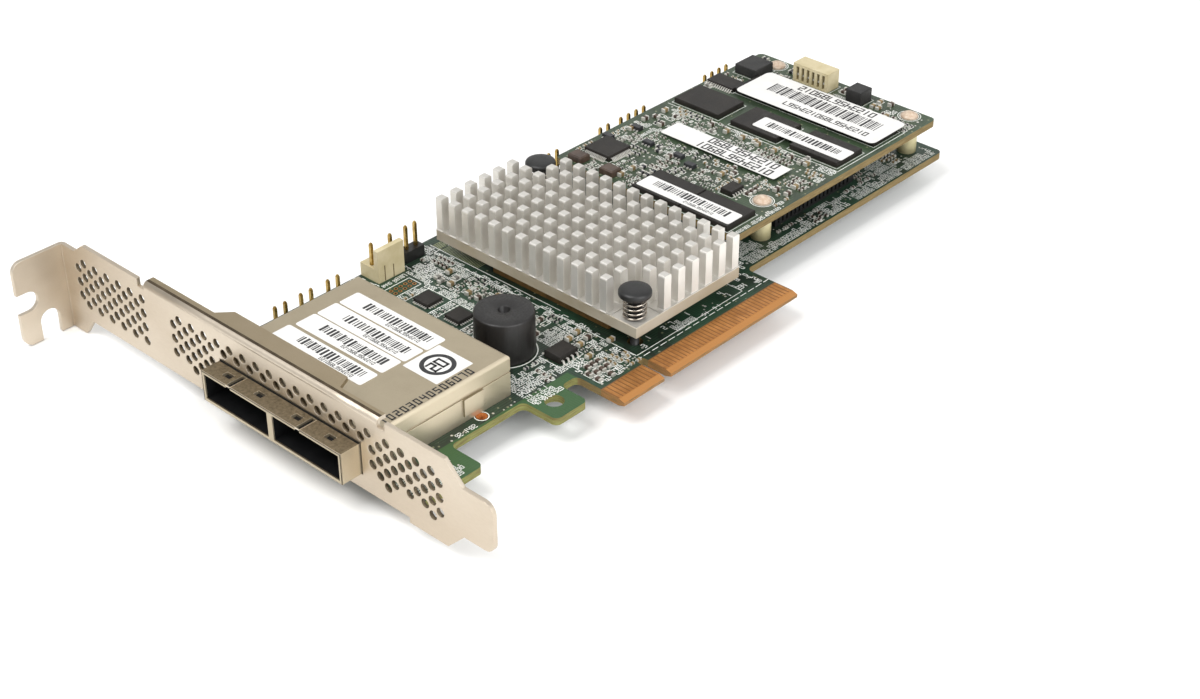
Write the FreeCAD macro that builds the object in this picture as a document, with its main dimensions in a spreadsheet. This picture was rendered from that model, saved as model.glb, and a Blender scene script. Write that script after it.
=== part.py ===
import FreeCAD, Part
import math
import os
import Sketcher

# A plug-in storage adapter card: a printed board with an edge connector and a slotted end
# bracket, a shielded twin cable port, a pin-fin heat sink and a memory board on standoffs.
# Card frame: x runs along the card from the bracket, y from the contact tips to the rear
# edge and z up from the component side of the main board. The connector key sits at x = 0.

# Sides of the slim round pieces and of the holes that hold them.
ROUND_SIDES = 10

# Millimetres, apart from turns.
SIZES = {
    # printed boards
    "board_thick": 1.57,  # thickness of both printed boards
    "board_gap": 0.24,  # gap between the bracket and the main board
    "board_right": 107.8,  # main board far end
    "board_back": 68.9,  # main board rear edge, from the contact tips
    "front_right": 13.0,  # front edge beyond the contacts
    "front_left": 13.6,  # front edge beside the port cage
    "foot_right": -43.3,  # bracket foot of the board, far side
    "foot_front": 5.1,  # front edge of the foot and of the ear
    "ear_left": -24.8,  # ear of the board, near side
    "ear_right": -16.4,  # ear of the board, far side
    "ear_hole_x": -20.7,  # ear hole centre along the card
    "ear_hole_y": 9.6,  # ear hole centre across the card
    "ear_hole_radius": 1.9,  # ear hole radius
    "slot_root": 12.1,  # root of the slot between ear and contacts
    "corner_radius": 1.3,  # rounded outer corners of the boards
    "tab_left": -12.15,  # near end of the first contact tab
    "tab_right": 39.15,  # far end of the second contact tab
    "key_half": 0.95,  # half width of the connector key
    "key_root": 7.4,  # depth of the connector key
    "key_radius": 0.9,  # rounded root of the connector key
    "bevel_long": 1.3,  # bevel of the contact edge, across the card
    "bevel_deep": 0.45,  # bevel of the contact edge, in thickness
    # contact fingers
    "finger_pitch": 1.0,  # contact pitch
    "finger_first": -11.5,  # first contact centre
    "finger_second": 1.5,  # first contact centre past the key
    "finger_wide": 0.7,  # contact width
    "finger_start": 1.35,  # contact tip line
    "finger_long": 4.15,  # contact length
    "copper": 0.05,  # plating thickness
    # end bracket
    "face_x": -59.9,  # outer face of the bracket
    "steel": 0.86,  # bracket sheet thickness
    "foot_y": -14.25,  # bottom end of the bracket tongue
    "axis_z": 5.35,  # middle of the bracket width
    "bracket_long": 120.02,  # tongue end to flange
    "half_wide": 9.21,  # half width of the bracket face
    "low_edge": -8.05,  # lower edge of the narrowed face, from the middle
    "half_tongue": 5.095,  # half width of the tongue
    "tongue_long": 7.11,  # straight part of the tongue
    "taper_long": 11.23,  # end of the tongue taper
    "step_y": 20.7,  # step in the lower edge
    "waist_back": 8.02,  # end of the shifted face, from the flange
    "neck_back": 5.02,  # start of the flange width, from the flange
    "flange_top": 6.9,  # flange edge on the component side
    "flange_low": -12.05,  # flange edge on the solder side
    "flange_deep": 11.43,  # flange depth
    "flange_corner": 2.2,  # rounded flange corners
    "screw_z": -2.4,  # screw slot centre line
    "screw_half": 2.21,  # half width of the screw slot
    "screw_deep": 2.35,  # straight depth of the screw slot
    "notch_near": 2.8,  # locating notch, near side
    "notch_far": 7.2,  # locating notch, far side
    "notch_round": -8.1,  # centre height of the locating notch end
    "bend_radius": 1.1,  # outside radius of the bends
    "lip_shallow": 2.5,  # depth of the narrow stiffening lip
    "lip_deep": 5.2,  # depth of the wide stiffening lip
    "lip_start": 27.8,  # lower end of the lip
    "lip_change": 45.62,  # change of lip depth, from the flange
    "lip_slope": 2.6,  # length of the change of lip depth
    "lip_back": 27.42,  # upper end of the lip, from the flange
    "relief": 2.0,  # width of the bend relief cuts
    "relief_deep": 1.7,  # depth of the bend relief cuts
    "vent_radius": 1.05,  # vent hole, centre to corner
    "vent_step": 1.86,  # vent column pitch
    "vent_rise": 1.57,  # vent row pitch
    "vent_top": 4.95,  # top vent row, from the middle
    "vent_high": 5.72,  # first column of the upper vent field, from the flange
    "vent_mid": 35.52,  # first column of the middle vent field, from the flange
    "vent_lower": 29.6,  # first column of the lower vent field
    "tab_deep": 10.0,  # depth of the fixing tabs under the board
    "tab_wide": 8.0,  # width of the fixing tabs
    "fix_out": 6.3,  # fixing screws from the bracket face
    "fix_edge": 4.5,  # front fixing screw from the edge of the foot
    "fix_inset": 5.7,  # rear fixing screw from the rear edge
    "fix_radius": 1.45,  # fixing screw shank radius
    "fix_hole": 1.6,  # fixing screw hole in the board
    "fix_thread": 1.5,  # fixing screw hole in the tab
    "fix_head": 2.7,  # fixing screw head radius
    "fix_tall": 1.7,  # fixing screw head height
    "fix_bevel": 0.6,  # bevelled fixing screw head
    "fix_end": 0.5,  # fixing screw past its tab
    "fit": 0.15,  # running clearance around pieces that pass through
    "reach": 1.0,  # how far a cutting outline runs past the material
    # port cage
    "cage_sheet": 0.5,  # cage sheet thickness
    "cage_long": 34.3,  # cage length behind the bracket
    "cage_mid": 37.4,  # cage centre across the card
    "cage_half": 20.6,  # half width of the cage
    "cage_tall": 8.9,  # cage height over the board
    "cage_edge": 0.9,  # rounded cage edges
    "collar_out": 4.5,  # collar projection from the bracket
    "collar_in": 1.6,  # collar narrower than the cage, each side
    "collar_low": 0.55,  # collar underside
    "collar_high": 7.05,  # collar top
    "collar_wall": 0.6,  # collar wall
    "port_off": 0.05,  # ports moved out from the quarters of the collar
    "port_edge": 0.65,  # port narrower than half the collar, each side
    "latch_half": 4.4,  # latch hole from the port centre
    "latch_wide": 1.9,  # latch hole width
    "latch_long": 1.2,  # latch hole length
    "slit_wide": 1.2,  # slit in the collar top
    "slit_off": 1.9,  # slit from the port centre
    "groove_z": 5.1,  # seam groove in the cage side
    "groove_tall": 0.4,  # seam groove height
    "groove_deep": 0.25,  # seam groove depth
    "groove_start": 8.6,  # seam groove from the cage front
    "clip_start": 22.2,  # spring clip from the cage front
    "clip_long": 4.9,  # spring clip length
    "clip_out": 0.45,  # spring clip bulge
    "clip_low": 1.4,  # spring clip lower end
    "core_long": 27.0,  # receptacle body length
    "core_start": 4.6,  # receptacle body from the cage front
    "core_tall": 8.1,  # receptacle body height
    "nose_start": 1.0,  # receptacle nose from the cage front
    "nose_in": 0.55,  # receptacle nose narrower than the port, each side
    "nose_mid": 3.8,  # receptacle nose middle over the board
    "nose_tall": 4.6,  # receptacle nose height
    "entry_in": 2.65,  # card entry narrower than the port, each side
    "entry_tall": 1.5,  # height of the entry
    "entry_deep": 6.0,  # depth of the entry
    "strip_pitch": 0.8,  # receptacle contact pitch
    "strip_wide": 0.45,  # receptacle contact width
    "strip_thick": 0.2,  # receptacle contact thickness
    "strip_long": 4.8,  # receptacle contact length
    # processor and heat sink
    "sink_x": 16.3,  # heat sink centre along the card
    "sink_y": 36.3,  # heat sink centre across the card
    "sink_long": 30.4,  # heat sink base along the card
    "sink_wide": 54.6,  # heat sink base across the card
    "sink_base": 2.5,  # heat sink base thickness
    "fin_inset_x": 1.025,  # outer fins from the ends of the base
    "fin_inset_y": 1.05,  # outer fins from the sides of the base
    "bay_long": 7.1,  # bay around a push pin, along the card
    "bay_wide": 6.675,  # bay around a push pin, across the card
    "fin_long": 2.0,  # fin size along the card
    "fin_wide": 1.7,  # fin size across the card
    "fin_tall": 7.4,  # fin height
    "chip_off_x": 1.1,  # processor past the heat sink centre
    "chip_off_y": 2.0,  # processor in front of the heat sink centre
    "chip_long": 27.4,  # processor substrate along the card
    "chip_wide": 31.4,  # processor substrate across the card
    "chip_thick": 1.3,  # processor substrate thickness
    "lid_size": 22.0,  # processor lid size
    "lid_thick": 1.7,  # processor lid thickness
    "paste_thick": 0.3,  # thermal pad thickness
    "pin_inset_x": 3.05,  # push pins from the ends of the heat sink
    "pin_inset_y": 2.95,  # push pins from the sides of the heat sink
    "pin_shaft": 1.45,  # push pin shaft radius
    "pin_hole": 1.6,  # push pin hole in the board and the heat sink
    "pin_top": 12.1,  # push pin head height over the board
    "pin_head": 3.25,  # push pin head radius
    "pin_crown": 0.6,  # bevelled push pin head
    "pin_brim": 1.4,  # push pin head thickness
    "pin_barb": 2.0,  # push pin barb radius
    "pin_cone": 1.2,  # tapered end of the push pin barb
    "pin_tip": 4.2,  # push pin tip below the board face
    "coil_radius": 2.1,  # spring radius to the wire
    "coil_wire": 0.24,  # half size of the spring wire
    "coil_turns": 2.5,  # turns of each spring
    "coil_gap": 0.08,  # play at each end of a spring
    # buzzer
    "buzzer_x": -14.9,  # buzzer centre along the card
    "buzzer_y": 28.1,  # buzzer centre across the card
    "buzzer_radius": 5.9,  # buzzer radius
    "buzzer_tall": 9.2,  # buzzer height
    "buzzer_hole": 1.25,  # buzzer sound hole radius
    "buzzer_deep": 3.0,  # buzzer sound hole depth
    "buzzer_edge": 0.35,  # buzzer rim bevel
    # pin headers
    "pin_pitch": 2.54,  # header pitch
    "pin_half": 0.32,  # half size of a header pin
    "pin_room": 0.04,  # room around a header pin in its base
    "base_half": 1.25,  # half width of a header base
    "base_tall": 2.5,  # header base height
    "header_inset": 2.6,  # header row from the rear edge
    "lamp_tall": 4.7,  # short header pins, height over the board
    "tall_pin": 8.0,  # long header pins, height over the board
    "lamp_one": -39.2,  # first lamp header, first pin
    "lamp_two": -32.7,  # second lamp header, first pin
    "lamp_three": -25.8,  # third lamp header, first pin
    "rear_one": 36.9,  # first rear header, first pin
    "rear_two": 53.2,  # second rear header, first pin
    "rear_three": 59.9,  # third rear header, first pin
    "rear_four": 88.6,  # fourth rear header, first pin
    "jump_x": -4.9,  # jumper header, first pin
    "fan_x": -14.2,  # friction-lock header, first pin
    "fan_half": 3.5,  # friction-lock header, half length
    "fan_inset": 5.5,  # friction-lock wall from the rear edge
    "fan_deep": 5.4,  # friction-lock header depth
    "fan_base": 3.0,  # friction-lock header base height
    "fan_wall": 1.2,  # friction-lock wall thickness
    "fan_tall": 7.3,  # friction-lock wall height
    # small packages on the main board
    "package_bevel": 0.12,  # bevelled package edges
    "flat_tall": 0.9,  # flat package height
    "flat_size": 5.2,  # flat package size
    "flat_x": -12.9,  # flat packages along the card
    "flat_back": 51.6,  # rear flat package across the card
    "flat_front": 42.7,  # front flat package across the card
    "boot_x": -9.0,  # boot memory along the card
    "boot_y": 19.0,  # boot memory across the card
    "boot_long": 5.0,  # boot memory length
    "boot_wide": 4.0,  # boot memory width
    "boot_tall": 1.6,  # boot memory height
    # memory board
    "deck_z": 6.83,  # underside of the memory board
    "deck_left": 36.2,  # memory board near end
    "deck_right": 105.8,  # memory board far end
    "deck_front": 14.1,  # memory board front edge
    "deck_back": 63.7,  # memory board rear edge
    "post_near": 51.3,  # near standoff along the card
    "post_inset_x": 2.9,  # far standoffs from the end of the memory board
    "post_inset_front": 5.1,  # front standoffs from the front edge
    "post_inset_back": 7.1,  # rear standoff from the rear edge
    "post_radius": 2.15,  # standoff radius
    "post_neck": 1.25,  # standoff neck radius
    "post_hole": 1.4,  # standoff hole in the boards
    "post_dome": 1.95,  # standoff dome radius
    "post_crown": 0.6,  # bevelled standoff dome
    "dome_tall": 1.1,  # standoff dome height
    "post_barb": 1.6,  # standoff foot radius under the board
    "post_tip": 3.0,  # standoff foot below the board face
    "post_cone": 0.7,  # tapered end of the standoff foot
    "ram_long": 8.9,  # memory chip along the card
    "ram_wide": 12.7,  # memory chip across the card
    "ram_tall": 1.15,  # memory chip height
    "ram_near_x": 41.3,  # near memory column
    "ram_mid_x": 77.4,  # middle memory column
    "ram_far_x": 90.4,  # far memory column
    "ram_row_one": 23.0,  # first memory row
    "ram_row_two": 36.0,  # second memory row
    "ram_row_three": 49.0,  # third memory row
    "ram_mid_two": 39.4,  # second chip of the middle column
    "ram_mid_three": 55.6,  # third chip of the middle column
    "quad_x": 45.8,  # quad package along the card
    "quad_y": 57.3,  # quad package across the card
    "quad_size": 7.0,  # quad package size
    "quad_tall": 1.2,  # quad package height
    "thin_x": 87.6,  # thin package along the card
    "thin_y": 59.2,  # thin package across the card
    "thin_long": 4.4,  # thin package along the card, size
    "thin_wide": 7.6,  # thin package across the card, size
    "gate_x": 50.2,  # small package along the card
    "gate_y": 26.4,  # small package across the card
    "gate_long": 3.9,  # small package length
    "gate_wide": 3.0,  # small package width
    "coil_one_x": 96.9,  # large inductor along the card
    "coil_one_y": 58.6,  # large inductor across the card
    "coil_one_long": 6.3,  # large inductor length
    "coil_one_wide": 6.0,  # large inductor width
    "coil_one_tall": 2.3,  # large inductor height
    "coil_two_x": 101.3,  # small inductor along the card
    "coil_two_y": 32.1,  # small inductor across the card
    "coil_two_size": 4.1,  # small inductor size
    "coil_two_tall": 3.2,  # small inductor height
    "cell_x": 101.6,  # backup power connector along the card
    "cell_y": 44.4,  # backup power connector across the card
    "cell_long": 4.2,  # backup power connector length
    "cell_wide": 9.8,  # backup power connector width
    "cell_tall": 4.5,  # backup power connector height
    "cell_pitch": 1.45,  # backup power contact pitch
    "cell_slot": 0.75,  # backup power slot width
    "cell_deep": 2.4,  # backup power slot depth
    "cell_pin": 0.4,  # backup power contact size
    "link_x": 56.2,  # board to board connector near end
    "link_y": 19.3,  # board to board connector front
    "link_long": 27.0,  # board to board connector length
    "link_wide": 5.8,  # board to board connector width
    "link_split": 4.1,  # height of the lower half
    "link_rib": 0.7,  # rib width on the lower half
    "link_groove": 0.4,  # groove depth between ribs
    "cap_long": 1.6,  # ceramic capacitor length
    "cap_wide": 0.9,  # ceramic capacitor width
    "cap_tall": 0.8,  # ceramic capacitor height
}

# Places and sizes that follow from the others.
RULES = {
    "board_left": "face_x + steel + board_gap",
    "waist_y": "bracket_long - waist_back",
    "neck_y": "bracket_long - neck_back",
    "lip_step": "bracket_long - lip_change",
    "lip_end": "bracket_long - lip_back",
    "vent_upper": "bracket_long - vent_high",
    "vent_middle": "bracket_long - vent_mid",
    "fix_x": "face_x + fix_out",
    "fix_front": "foot_front + fix_edge",
    "fix_back": "board_back - fix_inset",
    "collar_half": "cage_half - collar_in",
    "port_mid": "0.5*collar_half + port_off",
    "port_half": "0.5*collar_half - port_edge",
    "core_half": "port_half - fit",
    "nose_half": "port_half - nose_in",
    "entry_half": "port_half - entry_in",
    "chip_x": "sink_x + chip_off_x",
    "chip_y": "sink_y - chip_off_y",
    "pin_front_x": "sink_x - 0.5*sink_long + pin_inset_x",
    "pin_front_y": "sink_y - 0.5*sink_wide + pin_inset_y",
    "pin_back_x": "sink_x + 0.5*sink_long - pin_inset_x",
    "pin_back_y": "sink_y + 0.5*sink_wide - pin_inset_y",
    "header_y": "board_back - header_inset",
    "fan_front": "board_back - fan_inset",
    "post_far": "deck_right - post_inset_x",
    "post_front": "deck_front + post_inset_front",
    "post_back": "deck_back - post_inset_back",
}


def value(text):
    """Number of a sum such as 'board_back - 2*pin_pitch'."""
    total = 0.0
    sign = 1.0
    for word in text.split():
        if word in ("+", "-"):
            sign = 1.0 if word == "+" else -1.0
            continue
        product = 1.0
        for factor in word.split("*"):
            product *= SIZES[factor] if factor in SIZES else float(factor)
        total += sign * product
    return total


def formula(text):
    """The same sum written for the expression engine."""
    words = []
    for word in text.split():
        factors = ["Sizes." + f if f in SIZES else f for f in word.split("*")]
        words.append(" * ".join(factors))
    return " ".join(words)


def bind(item, path, text):
    item.setExpression(path, formula(text))


def locate(item, x="0", y="0", z="0"):
    """Put a sub-part in the library frame, whose origin is under the middle of the card."""
    bind(item, "Placement.Base.x", "0.5*flange_deep - 0.5*board_right - 0.5*face_x + " + x)
    bind(item, "Placement.Base.y", "-1*foot_y - 0.5*bracket_long + " + y)
    bind(item, "Placement.Base.z", "-1*axis_z - flange_low + " + z)


def body(name):
    item = doc.addObject("PartDesign::Body", name)
    item.Label = name
    item.AllowCompound = True
    return item


def plane_sketch(owner, role, offset="0"):
    """New sketch on one of the origin planes of a body, lifted along its normal."""
    plane = [f for f in owner.Origin.OriginFeatures if f.Role == role][0]
    item = owner.newObject("Sketcher::SketchObject", owner.Name + "_sketch")
    item.AttachmentSupport = [(plane, "")]
    item.MapMode = "FlatFace"
    bind(item, "AttachmentOffset.Base.z", offset)
    return item


def fix_point(sketch, geometry, corner, x, y):
    """Tie one point of the sketch to two sizes."""
    for kind, text in (("DistanceX", x), ("DistanceY", y)):
        number = sketch.addConstraint(
            Sketcher.Constraint(kind, -1, 1, geometry, corner, value(text)))
        bind(sketch, "Constraints[" + str(number) + "]", text)


def polygon(sketch, points):
    """Closed outline through points given as pairs of sums."""
    spots = [FreeCAD.Vector(value(x), value(y), 0) for x, y in points]
    first = sketch.GeometryCount
    count = len(spots)
    for k in range(count):
        sketch.addGeometry(Part.LineSegment(spots[k], spots[(k + 1) % count]), False)
    for k in range(count):
        following = first + (k + 1) % count
        sketch.addConstraint(Sketcher.Constraint("Coincident", first + k, 2, following, 1))
    for k in range(count):
        fix_point(sketch, first + k, 1, points[k][0], points[k][1])


def rectangle(sketch, x0, y0, x1, y1):
    polygon(sketch, [(x0, y0), (x1, y0), (x1, y1), (x0, y1)])


def circles(sketch, centres, radius):
    for x, y in centres:
        centre = FreeCAD.Vector(value(x), value(y), 0)
        ring = Part.Circle(centre, FreeCAD.Vector(0, 0, 1), value(radius))
        geometry = sketch.addGeometry(ring, False)
        fix_point(sketch, geometry, 3, x, y)
        number = sketch.addConstraint(Sketcher.Constraint("Radius", geometry, value(radius)))
        bind(sketch, "Constraints[" + str(number) + "]", radius)


def facets(sketch, centres, radius):
    """Many-sided holes around the given centres."""
    for x, y in centres:
        points = []
        for k in range(ROUND_SIDES):
            angle = 2 * math.pi * k / ROUND_SIDES
            points.append((x + " + " + str(round(math.cos(angle), 4)) + "*" + radius,
                           y + " + " + str(round(math.sin(angle), 4)) + "*" + radius))
        polygon(sketch, points)


def pad(owner, sketch, length, reverse=False):
    item = owner.newObject("PartDesign::Pad", owner.Name + "_pad")
    item.Profile = sketch
    item.Reversed = reverse
    bind(item, "Length", length)
    sketch.Visibility = False
    doc.recompute()
    return item


def pocket(owner, sketch, depth=None, reverse=False):
    """Cut a sketch into a body, to a depth or right through both ways."""
    before = owner.Tip.Shape.Volume
    item = owner.newObject("PartDesign::Pocket", owner.Name + "_pocket")
    item.Profile = sketch
    if depth is None:
        item.Type = "ThroughAll"
        item.Midplane = True
    else:
        item.Reversed = reverse
        bind(item, "Length", depth)
    sketch.Visibility = False
    doc.recompute()
    if item.Shape.Volume > before - 1e-6:
        raise RuntimeError(item.Name + " removes nothing")
    return item


def upright_edges(shape, spots):
    """Names of the edges parallel to z that stand at the given places."""
    names = []
    for index, edge in enumerate(shape.Edges):
        box = edge.BoundBox
        if box.XLength > 0.01 or box.YLength > 0.01 or box.ZLength < 0.05:
            continue
        for x, y in spots:
            if abs(box.XMin - value(x)) < 0.02 and abs(box.YMin - value(y)) < 0.02:
                names.append("Edge" + str(index + 1))
    return names


def dress(owner, kind, names, size):
    """Fillet or chamfer named edges of the newest feature of a body."""
    source = owner.Tip
    item = owner.newObject("PartDesign::" + kind, owner.Name + "_" + kind.lower())
    item.Base = (source, names)
    bind(item, "Radius" if kind == "Fillet" else "Size", size)
    doc.recompute()
    return item


def block(name, x, y, z, length, width, height):
    """Plain box held by its corner nearest the bracket, the contact tips and the board."""
    item = doc.addObject("Part::Box", name)
    for path, text in (("Length", length), ("Width", width), ("Height", height),
                       ("Placement.Base.x", x), ("Placement.Base.y", y),
                       ("Placement.Base.z", z)):
        bind(item, path, text)
    return item


def package(name, x, y, z, length, width, height):
    """Moulded chip package, centred on its own axes and set down on a board."""
    item = body(name)
    outline = plane_sketch(item, "XY_Plane")
    rectangle(outline, "-0.5*" + length, "-0.5*" + width, "0.5*" + length, "0.5*" + width)
    pad(item, outline, height)
    top = []
    for index, edge in enumerate(item.Tip.Shape.Edges):
        if abs(edge.BoundBox.ZMin - value(height)) < 0.01:
            top.append("Edge" + str(index + 1))
    dress(item, "Chamfer", top, "package_bevel")
    locate(item, x, y, z)
    return item


def together(name, items):
    """Several separate solids of one kind kept as one sub-part."""
    item = doc.addObject("Part::Compound", name)
    item.Label = name
    item.Links = items
    for member in items:
        member.Visibility = False
    locate(item)
    return item


def standing(name, x, y, steps, bevels):
    """Many-sided piece from steps of radius, foot and height, with bevelled ends."""
    item = body(name)
    for radius, foot, height in steps:
        step = item.newObject("PartDesign::AdditivePrism", name + "_step")
        step.Polygon = ROUND_SIDES
        bind(step, "Circumradius", radius)
        bind(step, "Height", height)
        bind(step, "Placement.Base.z", foot)
        doc.recompute()
    for level, size in bevels:
        names = []
        for index, edge in enumerate(item.Tip.Shape.Edges):
            box = edge.BoundBox
            if box.ZLength < 0.01 and abs(box.ZMin - value(level)) < 0.01:
                names.append("Edge" + str(index + 1))
        dress(item, "Chamfer", names, size)
    bind(item, "Placement.Base.x", x)
    bind(item, "Placement.Base.y", y)
    return item


doc = FreeCAD.newDocument("storage_adapter")

sheet = doc.addObject("Spreadsheet::Sheet", "Sizes")
for index, alias in enumerate(list(SIZES) + list(RULES)):
    row = str(index + 1)
    sheet.set("A" + row, alias)
    if alias in RULES:
        SIZES[alias] = value(RULES[alias])
        sheet.set("B" + row, "=" + RULES[alias])
    else:
        sheet.set("B" + row, str(SIZES[alias]))
    sheet.setAlias("B" + row, alias)
doc.recompute()

# --- printed main board -----------------------------------------------------------------
main_board = body("main_board")
outline = plane_sketch(main_board, "XY_Plane")
polygon(outline, [
    ("board_left", "board_back"), ("board_left", "foot_front"), ("foot_right", "foot_front"),
    ("foot_right", "front_left"), ("ear_left", "front_left"), ("ear_left", "foot_front"),
    ("ear_right", "foot_front"), ("ear_right", "slot_root"), ("tab_left", "slot_root"),
    ("tab_left", "0"), ("-1*key_half", "0"), ("-1*key_half", "key_root"),
    ("key_half", "key_root"), ("key_half", "0"), ("tab_right", "0"),
    ("tab_right", "front_right"), ("board_right", "front_right"),
    ("board_right", "board_back")])
pad(main_board, outline, "board_thick", reverse=True)
key_edges = upright_edges(main_board.Tip.Shape, [
    ("-1*key_half", "key_root"), ("key_half", "key_root")])
dress(main_board, "Fillet", key_edges, "key_radius")
corners = upright_edges(main_board.Tip.Shape, [
    ("board_left", "board_back"), ("foot_right", "foot_front"), ("foot_right", "front_left"),
    ("ear_left", "front_left"), ("ear_left", "foot_front"), ("ear_right", "foot_front"),
    ("ear_right", "slot_root"), ("tab_left", "slot_root"), ("tab_right", "front_right"),
    ("board_right", "front_right"), ("board_right", "board_back")])
dress(main_board, "Fillet", corners, "corner_radius")
bevels = plane_sketch(main_board, "YZ_Plane")
polygon(bevels, [("-1*reach", "fit"), ("bevel_long", "fit"), ("bevel_long", "0"),
                 ("0", "-1*bevel_deep"), ("-1*reach", "-1*bevel_deep")])
polygon(bevels, [("-1*reach", "-1*board_thick - fit"), ("bevel_long", "-1*board_thick - fit"),
                 ("bevel_long", "-1*board_thick"), ("0", "bevel_deep - board_thick"),
                 ("-1*reach", "bevel_deep - board_thick")])
pocket(main_board, bevels)
post_spots = [("post_near", "post_front"), ("post_far", "post_front"),
              ("post_far", "post_back")]
pin_spots = [("pin_front_x", "pin_front_y"), ("pin_back_x", "pin_back_y")]
fix_spots = [("fix_x", "fix_front"), ("fix_x", "fix_back")]
drilling = plane_sketch(main_board, "XY_Plane")
circles(drilling, [("ear_hole_x", "ear_hole_y")], "ear_hole_radius")
facets(drilling, pin_spots, "pin_hole")
facets(drilling, post_spots, "post_hole")
facets(drilling, fix_spots, "fix_hole")
pocket(main_board, drilling)
locate(main_board)

# Gold contacts on both faces: eleven before the key and thirty-eight after it.
fingers = []
for first, count in zip(("finger_first", "finger_second"), (11, 38)):
    for k in range(count):
        for level in ("0", "-1*board_thick - copper"):
            fingers.append(block(
                "finger", first + " + " + str(k) + "*finger_pitch - 0.5*finger_wide",
                "finger_start", level, "finger_wide", "finger_long", "copper"))
edge_contacts = together("edge_contacts", fingers)

# --- end bracket: one folded sheet --------------------------------------------------------
sheet_metal = body("sheet_metal")
face = plane_sketch(sheet_metal, "YZ_Plane", "face_x")
polygon(face, [
    ("foot_y", "axis_z - half_tongue"), ("foot_y + tongue_long", "axis_z - half_tongue"),
    ("foot_y + taper_long", "axis_z - half_wide"), ("foot_y + step_y", "axis_z - half_wide"),
    ("foot_y + step_y", "axis_z + low_edge"), ("foot_y + waist_y", "axis_z + low_edge"),
    ("foot_y + neck_y", "axis_z + flange_low"), ("foot_y + bracket_long", "axis_z + flange_low"),
    ("foot_y + bracket_long", "axis_z + flange_top"), ("foot_y + neck_y", "axis_z + flange_top"),
    ("foot_y + waist_y", "axis_z + half_wide"),
    ("foot_y + lip_end + relief", "axis_z + half_wide"),
    ("foot_y + lip_end + relief", "axis_z + half_wide - relief_deep"),
    ("foot_y + lip_end", "axis_z + half_wide - relief_deep"),
    ("foot_y + lip_end", "axis_z + half_wide"), ("foot_y + lip_start", "axis_z + half_wide"),
    ("foot_y + lip_start", "axis_z + half_wide - relief_deep"),
    ("foot_y + lip_start - relief", "axis_z + half_wide - relief_deep"),
    ("foot_y + lip_start - relief", "axis_z + half_wide"),
    ("foot_y + taper_long", "axis_z + half_wide"),
    ("foot_y + tongue_long", "axis_z + half_tongue"), ("foot_y", "axis_z + half_tongue")])
pad(sheet_metal, face, "steel")
flange = plane_sketch(sheet_metal, "XZ_Plane", "-1*foot_y - bracket_long")
rectangle(flange, "face_x - flange_deep", "axis_z + flange_low",
          "face_x + steel", "axis_z + flange_top")
pad(sheet_metal, flange, "steel")
lip = plane_sketch(sheet_metal, "XY_Plane", "axis_z + half_wide")
polygon(lip, [
    ("face_x", "foot_y + lip_start"), ("face_x + lip_deep", "foot_y + lip_start"),
    ("face_x + lip_deep", "foot_y + lip_step - lip_slope"),
    ("face_x + lip_shallow", "foot_y + lip_step"),
    ("face_x + lip_shallow", "foot_y + lip_end"), ("face_x", "foot_y + lip_end")])
pad(sheet_metal, lip, "steel", reverse=True)
tabs = plane_sketch(sheet_metal, "XY_Plane", "-1*board_thick")
for middle in ("fix_front", "fix_back"):
    rectangle(tabs, "face_x", middle + " - 0.5*tab_wide",
              "face_x + tab_deep", middle + " + 0.5*tab_wide")
pad(sheet_metal, tabs, "steel", reverse=True)


def bracket_bends(shape):
    """Outer edges of the two folds: along the lip and across the flange."""
    names = []
    top = value("axis_z + half_wide")
    end = value("foot_y + bracket_long")
    for index, edge in enumerate(shape.Edges):
        box = edge.BoundBox
        lip_fold = (abs(box.ZMin - top) < 0.01 and abs(box.ZMax - top) < 0.01
                    and abs(box.XMax - value("face_x")) < 0.01
                    and box.YLength > value("0.3*bracket_long"))
        flange_fold = (abs(box.YMin - end) < 0.01 and abs(box.YMax - end) < 0.01
                       and abs(box.XMin - value("face_x + steel")) < 0.01
                       and box.ZLength > value("half_wide"))
        if lip_fold or flange_fold:
            names.append("Edge" + str(index + 1))
    return names


def flange_edges(shape):
    """The two free corners of the flange."""
    names = []
    for index, edge in enumerate(shape.Edges):
        box = edge.BoundBox
        at_end = abs(box.XMin - value("face_x - flange_deep")) < 0.01
        if at_end and box.XLength < 0.01 and box.ZLength < 0.01 and box.YLength > 0.5:
            names.append("Edge" + str(index + 1))
    return names


def tongue_edges(shape):
    """The two corners of the tongue that slips behind the chassis."""
    names = []
    for index, edge in enumerate(shape.Edges):
        box = edge.BoundBox
        at_end = abs(box.YMin - value("foot_y")) < 0.01
        if at_end and box.YLength < 0.01 and box.ZLength < 0.01 and box.XLength > 0.5:
            names.append("Edge" + str(index + 1))
    return names


dress(sheet_metal, "Fillet", bracket_bends(sheet_metal.Tip.Shape), "bend_radius")
dress(sheet_metal, "Fillet", flange_edges(sheet_metal.Tip.Shape), "flange_corner")
dress(sheet_metal, "Fillet", tongue_edges(sheet_metal.Tip.Shape), "flange_corner")
slot = plane_sketch(sheet_metal, "XZ_Plane", "reach - foot_y - bracket_long")
rectangle(slot, "face_x - flange_deep - reach", "axis_z + screw_z - screw_half",
          "face_x - flange_deep + screw_deep", "axis_z + screw_z + screw_half")
rectangle(slot, "face_x - notch_far", "axis_z + flange_low - reach",
          "face_x - notch_near", "axis_z + notch_round")
pocket(sheet_metal, slot, "steel + 2*reach")
rounds = plane_sketch(sheet_metal, "XZ_Plane", "reach - foot_y - bracket_long")
circles(rounds, [("face_x - flange_deep + screw_deep", "axis_z + screw_z"),
                 ("face_x - 0.5*notch_near - 0.5*notch_far", "axis_z + notch_round")],
        "screw_half")
pocket(sheet_metal, rounds, "steel + 2*reach")
window = plane_sketch(sheet_metal, "YZ_Plane", "face_x - reach")
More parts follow.
